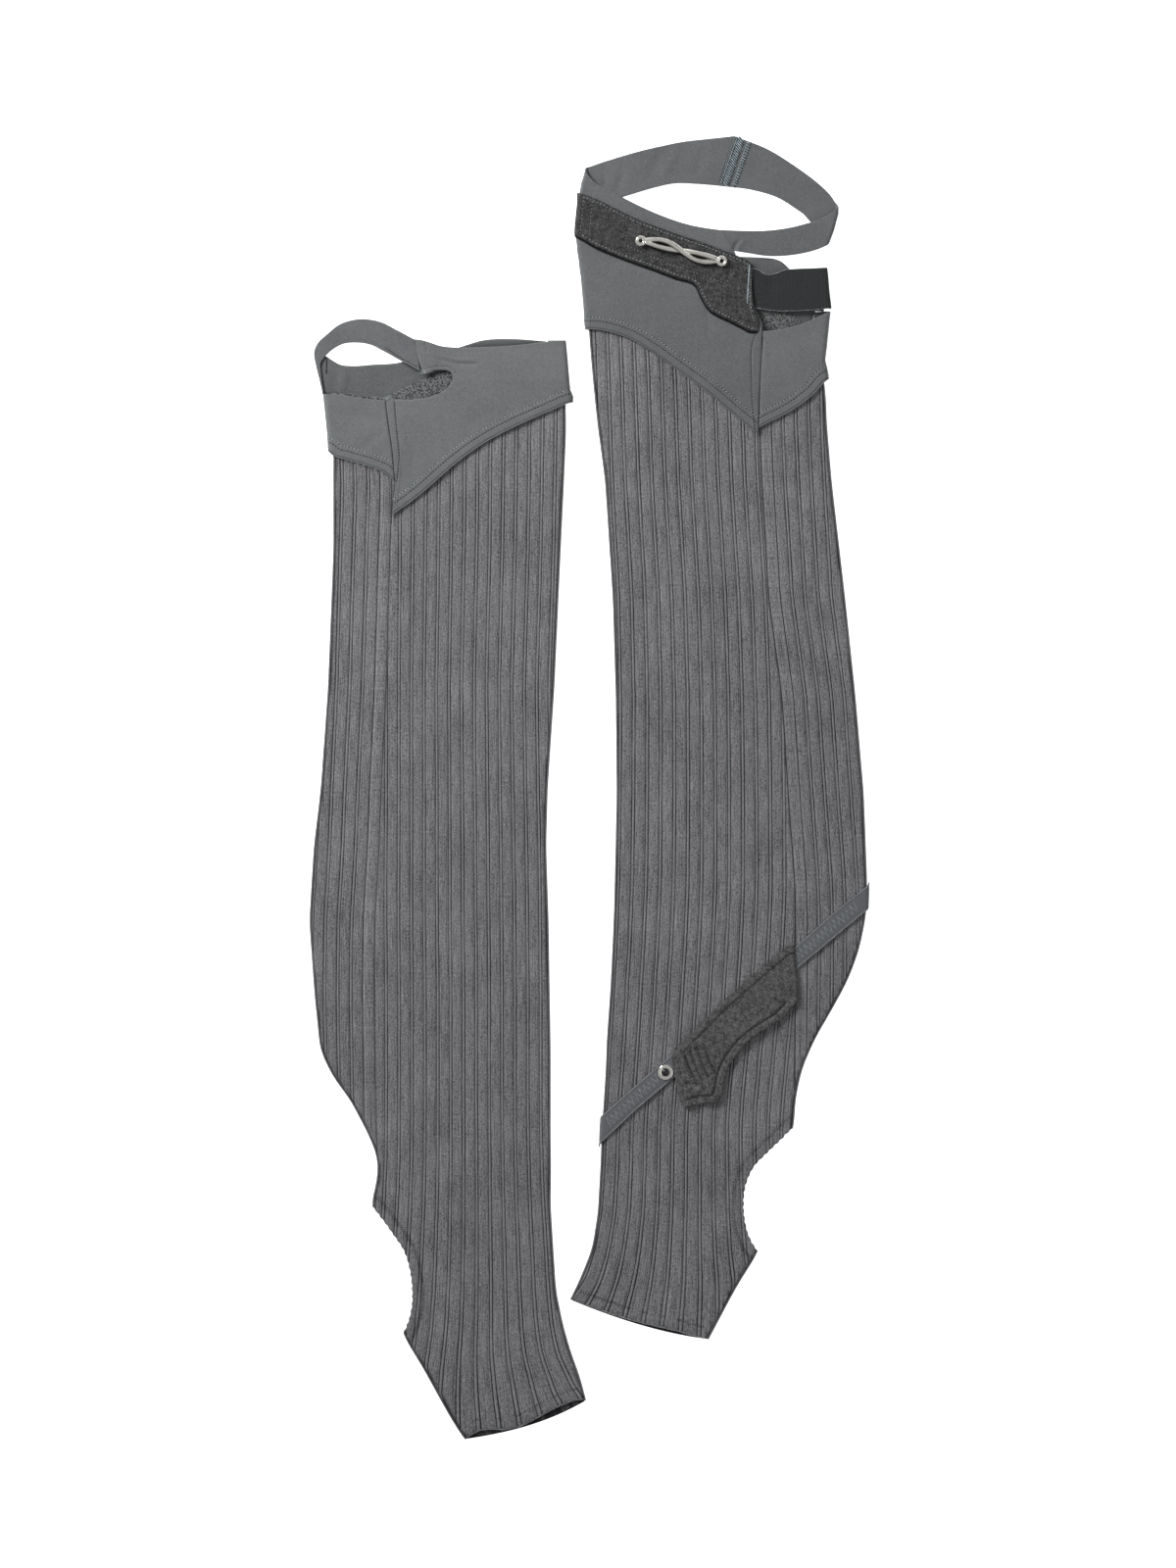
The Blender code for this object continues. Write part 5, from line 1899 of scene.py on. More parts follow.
    def build(self, finishes: Finishes) -> None:
        """Makes the yoke's pieces with their sewing.

        Args:
            finishes: the garment's finishes.
        """
        jersey, height = finishes.jersey, inside_yoke(LEFT_LEVELS)
        lay = Form(self.left, self.right, level(JERSEY), height).layer(0.0, JERSEY)
        seam, stitched, strap_seam = arc(*self.seam), arc(*self.stitched), arc(*self.strap_seam)
        slit = np.vstack([[(-170, 286.6), (-149.4, 285.4)], arc(*self.slit, spacing=1.2),
                          [(-128, 350), (-170, 350)]])
        over_slit = arc((-118, 308.2), (-107.5, 309.2), (-100.2, 307.9), (-96.6, 303))
        front = Cloth("left_yoke_front", "jersey", lay, JERSEY, jersey,
                      ("left_leg_cloth", "left_yoke_back_cloth"), spacing=1.3, sewn_low=HEM_ZONE,
                      sewn_start=14.0).strips(self.front)
        front.relief = hem_relief(
            front.low_edge, 11, self.creases,
            [((seam[2:] + resample(stitched[::-1], len(seam) - 2)) / 2, 2.6, 0.3),
             (beside(strap_seam, 3.4), 3.0, 0.25)],
            [(stitched, 0.5, 0.4), (strap_seam, 0.5, 0.35), (over_slit, 0.6, 0.35)])
        front.opened(np.vstack([seam, [(-175, 288), (-175, 192)]])).opened(slit).build()
        side = Cloth("left_yoke_side", "jersey", lay, JERSEY, jersey, ("left_leg_cloth",), spacing=1.3,
                     sewn_low=HEM_ZONE).strips(self.side)
        side.relief = hem_relief(side.low_edge, 12, self.side_creases)
        side.opened(np.vstack([seam - np.array([GAP, 0.0]), [(-120, 288), (-120, 192)]])).build()
        loop, loop_on = self.build_loop(height, finishes.cool_jersey)
        # the back's inside gets the darker jersey: painted shade
        back = self.build_back(finishes.shaded_jersey)
        facing = make_facing("left", finishes.terry, self.facing, 14)
        stitches = self.sew_seams(front, side, back, loop_on, over_slit, finishes)
        loops = Sewing("left_terry_loops", "terry", finishes.loops, 23, Grain.LOOP)
        scatter_loops(facing, loops, np.array(self.facing_shown))
        fray = Sewing("left_frayed_ends", "jersey", finishes.fray, 24, Grain.HAIR)
        scatter_fray(front, fray, ((-120.6, 304.6, 3.6, 60), (-147.4, 285.0, 2.6, 34)))
        under = beside(side.low_edge, -0.9)
        for x, y in under[(under[:, 0] > -179.0) & (under[:, 0] < -151.0)][::3]:
            scatter_fray(side, fray, ((x, y, 1.2, 4),))
        front.declare([sewing.build() for sewing in (*stitches, fray)])
        for piece in (side, back, loop):
            piece.declare()
        facing.declare([loops.build()])

    def sew_seams(self, front: Cloth, side: Cloth, back: Cloth, loop_on: Lay, over_slit: Array,
                  finishes: Finishes) -> tuple[Sewing, Sewing]:
        """Sews the hems, the seams and the strap.

        Args:
            front: the front panel.
            side: the side panel.
            back: the back panel.
            loop_on: places points on the strap.
            over_slit: the stitch line over the slit.
            finishes: the garment's finishes.

        Returns:
            The light and the dark stitches.
        """
        seam, stitched, strap_seam = arc(*self.seam), arc(*self.stitched), arc(*self.strap_seam)
        light = Sewing("left_yoke_stitches", "jersey", finishes.light, 21)
        dark = Sewing("left_yoke_seams", "jersey", finishes.dark, 22)
        for piece in (front, side):
            sew_hem(piece, light, dark)
        joint = seam[1:-2] - np.array([0.1, 0.0])
        strap_side = arc((-193.8, 316.4), (-197, 311), (-196.4, 303), (-194.6, 291))
        strap_root = arc((-150, 323.2), (-137, 314.8), (-125.4, 308.6))
        # a dense row of dark grains along the gap at the back's corner: painted shade in the gap
        corner = np.array([(-192.3, 315.4), (-192.6, 304)])
        for on, path, stitch in (
                (front.on, joint, SEAM._replace(width=0.8, height=0.7)),
                (front.on, stitched, TOPSTITCH),
                (front.on, strap_seam, TOPSTITCH),
                (front.on, over_slit, Stitch(1.5, 1.5, 0.45, 0.3)),
                (front.on, arc((-126.6, 319), (-127.6, 329)), SEAM._replace(out=-0.3)),
                (loop_on, strap_side, Stitch(1.6, 1.2, 0.6, 0.5, -0.3)),
                (loop_on, strap_root, Stitch(1.2, 1.5, 0.5, 0.4, -0.1)),
                (back.on, corner, Stitch(0.8, 1.4, 1.1, 0.6, 0.1))):
            dark.along(on, path, stitch)
        return light, dark

    def build_back(self, jersey: Material) -> Cloth:
        """Makes the back panel, whose inside shows through the strap and over the front.

        Args:
            jersey: its finish.

        Returns:
            The panel.
        """
        top = arc((-201, 320.8), (-192.2, 316.2), (-181.9, 310.4), (-171.9, 309.5), (-159.6, 310.4),
                  (-137.2, 312.4), (-122.8, 317.7), (-96.1, 323), (-76.7, 328.5), (-54.7, 329.3),
                  (-31, 327.6))
        low = np.array([(-27, 279.4), (-176, 249.6), (-180, 288.5), (-195.4, 288.5), (-198.4, 304)])
        hem = beside(np.array([(-176, 249.6), (-101.5, 264.5), (-27, 279.4)]), 8.6)
        # a groove along the front's top edge whose darkening paints the front's shadow on the back
        front_edge_shadow = arc((-104, 324), (-92, 323.2), (-78, 323.9), (-52, 325.4), (-34, 327.6))
        relief = Relief(self.back_creases, grooves=[(hem, 0.6, 0.2), (front_edge_shadow, 1.4, 0.6)], waves=0.0,
                        seed=13)
        back = Cloth("left_yoke_back", "jersey", plate(0.0), JERSEY, jersey, relief=relief, spacing=1.4)
        return back.outline(np.vstack([top, low])).build()

    def build_loop(self, height: Heights, jersey: Material) -> tuple[Cloth, Lay]:
        """Makes the loop strap, which sinks from the front to the back.

        Args:
            height: height of the inside of the front.
            jersey: its finish.

        Returns:
            The strap, and what places points on its outer side.
        """
        table, lifts = np.array(self.loop), np.array(self.loop_lifts)
        middle = (table[:, :2] + table[:, 2:]) / 2

        def lay(flat: Array, out: Array) -> Array:
            """Lays the strap at the height that its third column allows."""
            rise = np.minimum(height(flat[:, 1]), flat[:, 2])
            return np.column_stack([flat[:, :2], rise + out])

        def on(flat: Array, out: float = 0.0) -> Array:
            """Points on the strap's outer side, or this far out, in millimetres.

            Args:
                flat: places on the flat strap.
                out: how far out they are.

            Returns:
                The points.
            """
            near = 1.0 / (np.linalg.norm(flat[:, None, :2] - middle[None], axis=2) + 0.5) ** 4
            lift = near @ lifts / near.sum(axis=1)
            return lay(np.column_stack([flat[:, :2], lift]), JERSEY + out)
        loop = Cloth("left_loop_strap", "jersey", lay, JERSEY, jersey, ("left_yoke_back_cloth",),
                     cut=Cut.BAND, spacing=1.2).strips(self.loop, self.loop_lifts)
        hem = beside(loop.low_edge[6:44], -1.5)
        loop.relief = Relief(self.loop_creases, grooves=[(hem, 0.5, 0.4)], waves=0.15, seed=15)
        loop.build()
        return loop, on


RING_JOINT = ((93, 420), (97, 412.5), (107.6, 392.6), (108.4, 390))
OVERLOCK_RISE = 1.9       # how high over the floor the ring band's overlocked seam lies


@dataclass
class RightYoke:
    """The right leg's yoke: front, side, back, facing and the ring band in two pieces."""

    front: Rows = (
        (-16.6, 335.9, -17.4, 456), (-6.6, 335.9, -6, 455.8), (-2.6, 335.9, -3, 454.6),
        (1, 335.9, -0.7, 450.4), (6, 335.6, 5.2, 443.8), (11.2, 335, 14.5, 438.9), (25, 331, 26, 432.6),
        (45, 320.5, 48.9, 421.7), (66, 305.5, 70.8, 413.9), (87, 290, 88, 410.4), (100, 279, 100, 409),
        (110, 270.7, 114, 408.6), (124.6, 258.6, 132, 408.6),
    )
    side: Rows = (
        (121, 261.5, 122, 334.9), (131, 266.9, 133, 335.1), (147.2, 275, 150, 338.2), (165, 288, 166, 343.8),
        (176.8, 299.7, 177.7, 349.2), (190.8, 299.7, 191.7, 349.2),
    )
    seam: Points = ((127.7, 340), (127.5, 330), (126.6, 310), (125.3, 285), (124.7, 268), (124.5, 250))
    stitched: Points = ((122.6, 333), (120.4, 326), (119.8, 300), (120.8, 275), (122.4, 263))
    left: Folds = rows_of(Fold,
        (336, -1.3), (370, -4), (395, -7.3), (405, -8.2), (415, -8), (430, -5.4), (437, -5.4), (444, -4.2),
        (450, -2.3), (456, -1.1),
    )
    right: Folds = rows_of(Fold,
        (299.7, 175.5), (314, 172.6), (349.4, 176.7), (352, 177.5), (382, 174.3),
    )
    notch: Points = (
        (-30, 402), (-12.8, 402), (-12.6, 415), (-9.9, 430), (-9.8, 437), (-8.8, 444), (-7, 450),
        (-5.6, 462), (-30, 462),
    )
    facing: Points = (
        (16, 347), (120, 328.9), (157, 322.4), (164, 337), (143.5, 351.5), (140, 362), (16, 362),
    )
    facing_shown: Points = (
        (124, 333.5), (151, 334), (162.5, 337.6), (143.5, 351), (124, 354),
    )
    ring_left: Folds = rows_of(Fold,
        (400, -30), (430, -30),
    )
    ring_right: Folds = rows_of(Fold,
        (395, 173.6), (400, 175.6), (409, 179), (421, 182.2), (430, 182.2),
    )
    ring_front: Rows = (
        (98, 395, 86, 410.6), (108, 393.6, 97, 409.3), (117, 392.2, 113, 408.6), (131.3, 390.1, 129, 408.6),
        (146, 390.4, 145, 410.4), (160, 392.6, 158, 413.4), (170, 395.6, 169, 416.9),
        (178, 399.6, 178, 421.6), (185.1, 404.9, 184.6, 427.6), (199.9, 414.2, 190.1, 435.2),
        (214.3, 424.2, 199.5, 444.2), (228.7, 433.1, 216.1, 456.5), (246.7, 438.6, 234.5, 468),
        (272.5, 441.9, 260.3, 478.4),
    )
    ring_back: Rows = (
        (-3.8, 424, -0.1, 455.5), (4, 426.6, 8.5, 458.6), (16, 430.6, 19, 461.9), (30, 435, 35, 466.6),
        (48.6, 440.5, 52, 470.7), (64.4, 443.6, 70, 474.3), (78.8, 443.2, 86, 476.1),
        (95.3, 441.9, 107.4, 478.4),
    )
    creases: Creases = rows_of(Crease,
        (84, 360, 88, 330, 2, 3.5, -0.5), (68, 318, 69, 309, 0.5, 2.2, -0.45),
        (86, 304, 89, 296, 0.5, 2.2, -0.4), (106, 292, 110, 280, 0.5, 2.6, -0.45),
        (44, 344, 45, 335, 0.5, 2.2, -0.4), (20, 372, 66, 352, -3, 8, -0.35),
        (92, 350, 116, 318, 3, 7, -0.35),
    )
    tuck: Creases = rows_of(Crease,
        (106.4, 391, 112, 402.5, 1.4, 1.3, -1.1), (108.4, 389, 116, 403.5, 1.6, 1.8, 0.5),
        (96, 407, 106, 394, 0.5, 3, 0.4),
    )
    side_creases: Creases = rows_of(Crease,
        (130, 322, 168, 330, 2, 6, -0.35), (134, 300, 160, 284, 2, 5, -0.35),
    )
    ring_front_creases: Creases = rows_of(Crease,
        (150, 399, 172, 407, 1, 4, -0.3),
    )
    ring_creases: Creases = rows_of(Crease,
        (54, 470, 40, 442, 2, 4, -0.5), (66, 474, 52, 446, 2, 3, 0.35), (86, 474, 76, 446, 1.5, 4, -0.4),
        (26, 462, 20, 434, 1.5, 3, -0.5), (12, 458, 10, 432, 1, 2.5, -0.4),
    )

    def form(self) -> Form:
        """The form that the yoke, belt and elastic lie on."""
        return Form(self.left, self.right, level(JERSEY), inside_yoke(RIGHT_LEVELS))

    def build(self, finishes: Finishes) -> None:
        """Makes the yoke's pieces with their sewing.

        Args:
            finishes: the garment's finishes.
        """
        jersey, lay = finishes.cool_jersey, self.form().layer(0.0, JERSEY)
        seam, stitched, joint = arc(*self.seam), arc(*self.stitched), np.array(RING_JOINT)
        front = Cloth("right_yoke_front", "jersey", lay, JERSEY, jersey,
                      ("right_leg_cloth", "right_yoke_back_cloth"), spacing=1.4, sewn_low=HEM_ZONE,
                      sewn_end=12.0).strips(self.front)
        front.relief = hem_relief(front.low_edge, 31, self.creases + self.tuck,
                                  [((seam + resample(stitched, len(seam))) / 2, 2.6, 0.3)],
                                  [(stitched, 0.5, 0.4)])
        front.opened(np.vstack([joint, [(112, 380), (118, 362), (126, 343)], seam,
                                [(160, 250), (160, 430), (93, 430)]]), rounded=False)
        front.outlines += [joint[2:], seam]
        front.opened(np.array(self.notch)).build()
        side = Cloth("right_yoke_side", "jersey", lay, JERSEY, finishes.jersey, ("right_leg_cloth",),
                     spacing=1.4, sewn_low=HEM_ZONE).strips(self.side)
        side.relief = hem_relief(side.low_edge, 32, self.side_creases)
        side.opened(np.vstack([seam + np.array([GAP, 0.0]), [(100, 250), (100, 340)]])).build()
        # the back's inside gets the darker jersey: painted shade
        back = self.build_back(finishes.shaded_jersey)
        facing = make_facing("right", finishes.terry, self.facing, 34)
        ring_front, ring_back = self.build_ring(jersey, joint)
        light = Sewing("right_yoke_stitches", "jersey", finishes.light, 41)
        dark = Sewing("right_yoke_seams", "jersey", finishes.dark, 42)
        for piece in (front, side):
            sew_hem(piece, light, dark)
            # a row of dark grains just above the light stitches: painted shade beside them
            dark.along(piece.on, beside(piece.low_edge, HEM_LINES[0] + 0.2),
                       Stitch(2.6, 1.3, 0.6, 0.4, 0.1, start=0.2), piece.cuts)
        dark.along(front.on, stitched, TOPSTITCH)
        dark.along(front.on, seam[6:-9] + np.array([0.1, 0.0]), SEAM)
        loops = Sewing("right_terry_loops", "terry", finishes.loops, 43, Grain.LOOP)
        scatter_loops(facing, loops, np.array(self.facing_shown))
        front.declare([light.build(), dark.build()])
        side.declare()
        back.declare()
        facing.declare([loops.build()])
        ring_front.declare()
        ring_back.declare(self.overlock(finishes))

    def build_ring(self, jersey: Material, joint: Array) -> tuple[Cloth, Cloth]:
        """Makes the ring band's front, cut where it joins the yoke, and its back.

        Args:
            jersey: its finish.
            joint: the line where it joins the yoke.

        Returns:
            The front and the back.
        """
        ring = Form(self.ring_left, self.ring_right, level(JERSEY), level(YOKE_TOP_HEIGHT))
        front = Cloth("right_ring_front", "jersey", ring.layer(0.0, JERSEY), JERSEY, jersey,
                      relief=Relief(self.tuck + self.ring_front_creases, seed=31), cut=Cut.BAND,
                      spacing=1.3).strips(self.ring_front)
        front.outlines[0] = front.outlines[0][:-2]
        front.opened(np.vstack([joint, [(100, 380), (60, 380), (60, 430), (90, 430)]]),
                     rounded=False).build()
        back = Cloth("right_ring_back", "jersey", plate(0.0), JERSEY, jersey,
                     relief=Relief(self.ring_creases, waves=0.1, seed=36), cut=Cut.BAND, spacing=1.4)
        return front, back.strips(self.ring_back).build()

    @staticmethod
    def build_back(jersey: Material) -> Cloth:
        """Makes the back panel, whose inside shows between the ring and the elastic.

        Args:
            jersey: its finish.

        Returns:
            The panel.
        """
        top = arc((172, 379.6), (148, 380.4), (145.1, 383.3), (141.6, 386.2), (138.2, 387.6),
                  (129, 388.9), (119.8, 389.4), (100, 390.2), (60, 395), (0.4, 397.4))
        low = np.array([(6.2, 370.0), (10.6, 333), (163.4, 302.4), (158.4, 313), (161.9, 332),
                        (165.9, 348.2), (166.6, 349.6), (173, 349.5)])
        back = Cloth("right_yoke_back", "jersey", plate(0.0), JERSEY, jersey,
                     relief=Relief(waves=0.0, seed=33), spacing=2.4)
        return back.outline(np.vstack([top, low])).build()

    @staticmethod
    def overlock(finishes: Finishes) -> list[Piece]:
        """Sews the ring band's two pieces together with an overlocked seam.

        Args:
            finishes: the garment's finishes.

        Returns:
            The rows of stitches.
        """
        over = Sewing("right_ring_overlock", "jersey", finishes.pale, 45)
        under = Sewing("right_ring_seam", "jersey", finishes.dark, 46)
        rungs, edge = np.array([(100.4, 442.4), (112.6, 476.6)]), np.array([(106, 442.2), (117, 474.4)])
        across = math.pi / 2
        lay = plate(OVERLOCK_RISE)
        for sewn, path, stitch in (
                (over, rungs, Stitch(1.6, 6.6, 0.8, 0.9, turn=across - 0.5)),
                (over, rungs, Stitch(1.6, 1.6, 0.8, 0.8, 0.05, 0.35, shift=3.4)),
                (over, edge, Stitch(2.0, 1.5, 0.7, 0.6, turn=0.2)),
                (over, edge, Stitch(2.0, 3.6, 0.6, 0.6, -0.1, across - 0.2, shift=-1.6)),
                (under, rungs, Stitch(1.6, 6.8, 0.9, 0.7, -0.25, across - 0.5, 1.0)),
                (under, rungs, Stitch(0.9, 1.4, 0.7, 0.6, -0.3, shift=4.0)),
                (under, rungs, Stitch(0.9, 1.4, 0.7, 0.6, -0.3, shift=-7.4))):
            sewn.along(lambda flat, out: lay(flat, np.full(len(flat), out)), path, stitch)
        return [over.build(), under.build()]


# ------------------------------------------------------------------------------ belt, bar, elastic


@dataclass
class BeltSet:
    """The suede belt on the right yoke, its metal bar and the elastic that holds its end."""

    belt: Rows = (
        (-11, 406.4, -9.6, 436.4), (-8.6, 405, -7.2, 436), (-5.4, 403.4, -3.6, 435), (3, 398.4, 5, 431.9),
        (17.6, 391.9, 22.4, 423.3), (33, 386, 36, 416.8), (48.6, 380.4, 52, 410.6), (64, 374.5, 68, 404.8),
        (78.6, 368.9, 86, 398.9), (83.2, 359.5, 97, 394.6), (89.5, 350.1, 106.6, 391),
        (96, 346.3, 112, 388.6), (103.3, 342.9, 117.4, 385.8), (112, 338.5, 119.8, 366),
        (119.2, 335, 121.6, 351), (124.6, 335, 125.2, 341),
    )
    band: Rows = (
        (120.9, 351.9, 113, 381.8), (125, 351.2, 122.5, 380.9), (132, 350, 131.3, 376.6),
        (138, 349.5, 137, 377.3), (144, 349.3, 143, 379.7), (157, 349.6, 151, 380.6),
        (169, 350.4, 166, 381.2), (176, 351.2, 174, 381.6), (178.8, 351.2, 176.6, 381.7),
        (181, 351.2, 178.8, 381.7),
    )
    creases: Creases = rows_of(Crease,
        (10, 410, 60, 388, 2, 5, -0.15), (80, 376, 112, 352, -4, 5, -0.3), (96, 362, 110, 346, 2, 4, 0.25),
    )
    band_creases: Creases = rows_of(Crease,
        (134, 378, 133, 358, 0.5, 4, -0.5),
    )

    def build(self, form: Form, finishes: Finishes) -> None:
        """Makes the belt, bar and elastic with their sewing, on a form.

        Args:
            form: what they lie on.
            finishes: the garment's finishes.
        """
        rows = np.array(self.belt) - np.array([0.5, 1.9, -0.2, -0.2])
        # near-black backing that shows below the belt: painted shadow
        backing = Cloth("right_belt", "suede", form.layer(LIFT, BACKING), BACKING, finishes.backing,
                        ("right_yoke_front_cloth",), Relief(waves=0.0, seed=50), Cut.BAND, "backing",
                        spacing=1.3).strips(tuple(map(tuple, rows))).build()
        belt = Cloth("right_belt", "suede", form.layer(LIFT + SUEDE - TOP_SUEDE, TOP_SUEDE), TOP_SUEDE,
                     finishes.suede, ("right_belt_backing",), cut=Cut.BAND, layer="suede", spacing=1.0,
                     sewn_low=4.0, sewn_high=4.0).strips(self.belt)
        edges = [beside(belt.high_edge[9:-9], -1.9), beside(belt.low_edge[9:-9], 1.9)]
        frames = [
            np.array([(30.6, 413.6), (26.2, 399.6)]), np.array([(104.8, 380.4), (101.9, 371.7)]),
            arc((28, 397.6), (50, 388), (72, 379.5), (100, 370)),
        ]
        ends = [beside(np.array([(-6.2, 405.5), (-3.6, 433.0)]), -shift) for shift in (0.0, 6.6)]
        grooves = [(path, 0.7, 0.35) for path in edges] + [(path, 0.8, 0.5) for path in frames]
        grooves += [(path, 0.7, 0.35) for path in ends]
        belt.relief = Relief(self.creases, grooves=grooves, waves=0.25, seed=51)
        belt.build()
        stitches = Sewing("belt_stitches", "suede", finishes.light, 52)
        # dark grains for the needle holes: painted shade in holes that are not cut
        holes = Sewing("belt_needle_holes", "suede", finishes.dark, 57)
        for path in edges:
            stitches.along(belt.on, path, Stitch(2.7, 1.7, 0.7, 0.5, 0.08))
            holes.along(belt.on, path, Stitch(2.7, 1.0, 0.8, 0.4, 0.02, start=0.0))
        for path in (*ends, *frames):
            stitches.along(belt.on, path, Stitch(2.6, 1.3, 0.45, 0.34, 0.05))
            holes.along(belt.on, path, Stitch(2.6, 1.1, 0.9, 0.4, start=0.0))
        tack = Sewing("belt_end_stitch", "suede", finishes.pale, 53)
        tack.along(belt.on, arc((118.3, 383.2), (117.4, 370), (116.4, 354.2)),
                   Stitch(1.5, 2.0, 1.0, 0.8, 0.15, 0.5))
        stitches.along(belt.on, arc((119.9, 381), (119.3, 368), (118.4, 353), (121.6, 342)),
                       Stitch(1.9, 1.0, 0.55, 0.5, 0.05))
        nap = Sewing("belt_nap", "suede", finishes.nap, 54, Grain.HAIR)
        brush(belt, nap, 900, (1.3, 0.22, 0.16), -0.8)
        belt.declare([piece.build() for piece in (stitches, holes, tack, nap)])
        backing.declare()
        band = Cloth("right_elastic", "black_elastic", form.layer(0.0, ELASTIC), ELASTIC, finishes.black,
                     ("right_yoke_front_cloth",), Relief(self.band_creases, waves=0.1, seed=55), Cut.BAND,
                     "band", spacing=1.2).strips(self.band).build()
        edging = Sewing("elastic_edging", "black_elastic", finishes.light, 56)
        for path in (beside(band.low_edge, 0.3), beside(band.high_edge, -0.3)):
            edging.along(band.on, path, Stitch(1.0, 1.3, 0.5, 0.5, -0.15))
        band.declare([edging.build()])
        top = float(form.high(np.array([379.0]))[0]) + LIFT + SUEDE + GAP
        Clasp().build(top, finishes.silver)


@dataclass
class Clasp:
    """The metal bar: two strands twisted round each other between two pierced eyes."""

    left: tuple[float, float] = (39.6, 400.6)
    right: tuple[float, float] = (96.4, 386.4)
    bow: float = 1.5
    strand: float = 3.5
    spread: float = 2.7
    turns: float = 2.0
    eye: float = 2.7
    rim: float = 2.0
    steps: int = 90
    sides: int = 14

    def build(self, low: float, silver: Material) -> Piece:
        """Casts the bar.

        Args:
            low: height of its underside.
            silver: its finish.

        Returns:
            The piece.
        """
        bm = bmesh.new()
        tone = bm.verts.layers.float.new("tone")
        start, end = np.array(self.left), np.array(self.right)
        run = end - start
        side = np.array([-run[1], run[0]]) / np.linalg.norm(run)
        middle = low + self.strand / 2 + 0.55
        for phase in (math.pi / 2, math.pi * 1.5):
            share = np.linspace(0.0, 1.0, self.steps)
            turn = share * self.turns * math.tau / 2 + phase
            off = self.spread * np.cos(turn)
            bow = self.bow * np.sin(share * math.tau)
            flat = start + run * share[:, None] + side * (off + bow)[:, None]
            height = middle + 0.55 * np.sin(turn) * np.clip(10.0 * share * (1.0 - share), 0.0, 1.0)
            self.add_strand(bm, tone, np.column_stack([flat, height]), turn)
        for centre, outward in ((start, -1.0), (end, 1.0)):
            out = run / np.linalg.norm(run) * outward * 1.3
            self.add_eye(bm, tone, np.append(centre + out, middle - 0.1))
        return finish_piece("right_belt_bar_metal", bm, silver, "right_belt_bar", 70.0)

    def add_strand(self, bm: Mesh, tone: object, path: Array, turn: Array) -> None:
        """Adds one strand along a path.

        Args:
            bm: the mesh.
            tone: its layer of lightness.
            path: the middle of the strand.
            turn: how far the strand has turned at each point.
        """
        made = bmesh.ops.create_grid(bm, x_segments=self.sides, y_segments=len(path) - 1, size=1.0)["verts"]
        ahead = unit(np.gradient(path, axis=0))
        across = np.column_stack([leftward(ahead), 0.0 * turn])
        up = np.cross(ahead, across)
        for i in range(len(path)):
            taper = min(1.0, 0.55 + 8.0 * min(i, len(path) - 1 - i) / len(path))
            for k in range(self.sides + 1):
                angle = math.tau * k / self.sides
                flute = 1.0 - 0.1 * math.cos(3 * angle + turn[i] * 2)
                reach = self.strand / 2 * taper * flute
                point = path[i] + reach * (1.15 * math.cos(angle) * across[i] + math.sin(angle) * up[i])
                vert = made[i * (self.sides + 1) + k]
                vert.co = metres(point)
                # painted highlight on the strand's upper side towards the key light, painted shade round its
                # other sides
                vert[tone] = 0.42 + 0.7 * math.sin(angle + 0.6)
        bmesh.ops.remove_doubles(bm, verts=made, dist=1e-7)
        bmesh.ops.holes_fill(bm, edges=[edge for edge in bm.edges if edge.is_boundary])

    def add_eye(self, bm: Mesh, tone: object, centre: Array) -> None:
        """Adds a pierced eye.

        Args:
            bm: the mesh.
            tone: its layer of lightness.
            centre: its middle.
        """
        ring = bmesh.ops.create_circle(bm, segments=self.sides, radius=self.rim / 2)["verts"]
        edges = list({edge for vert in ring for edge in vert.link_edges})
        hub = Vector(metres(centre))
        for vert in ring:
            # the eyes get full painted light
            vert[tone] = 1.0
            vert.co = hub + Vector((self.eye + vert.co.x * 1.35, 0.0, vert.co.y * 1.4)) * MM
        bmesh.ops.spin(bm, geom=ring + edges, cent=hub, axis=(0, 0, 1), angle=math.tau, steps=28,
                       use_merge=True)


# ------------------------------------------------------------------------------ calf strap


ZIGZAG_ENDS = (13, 198)      # the zigzag stops at these places across the leg, before its folds


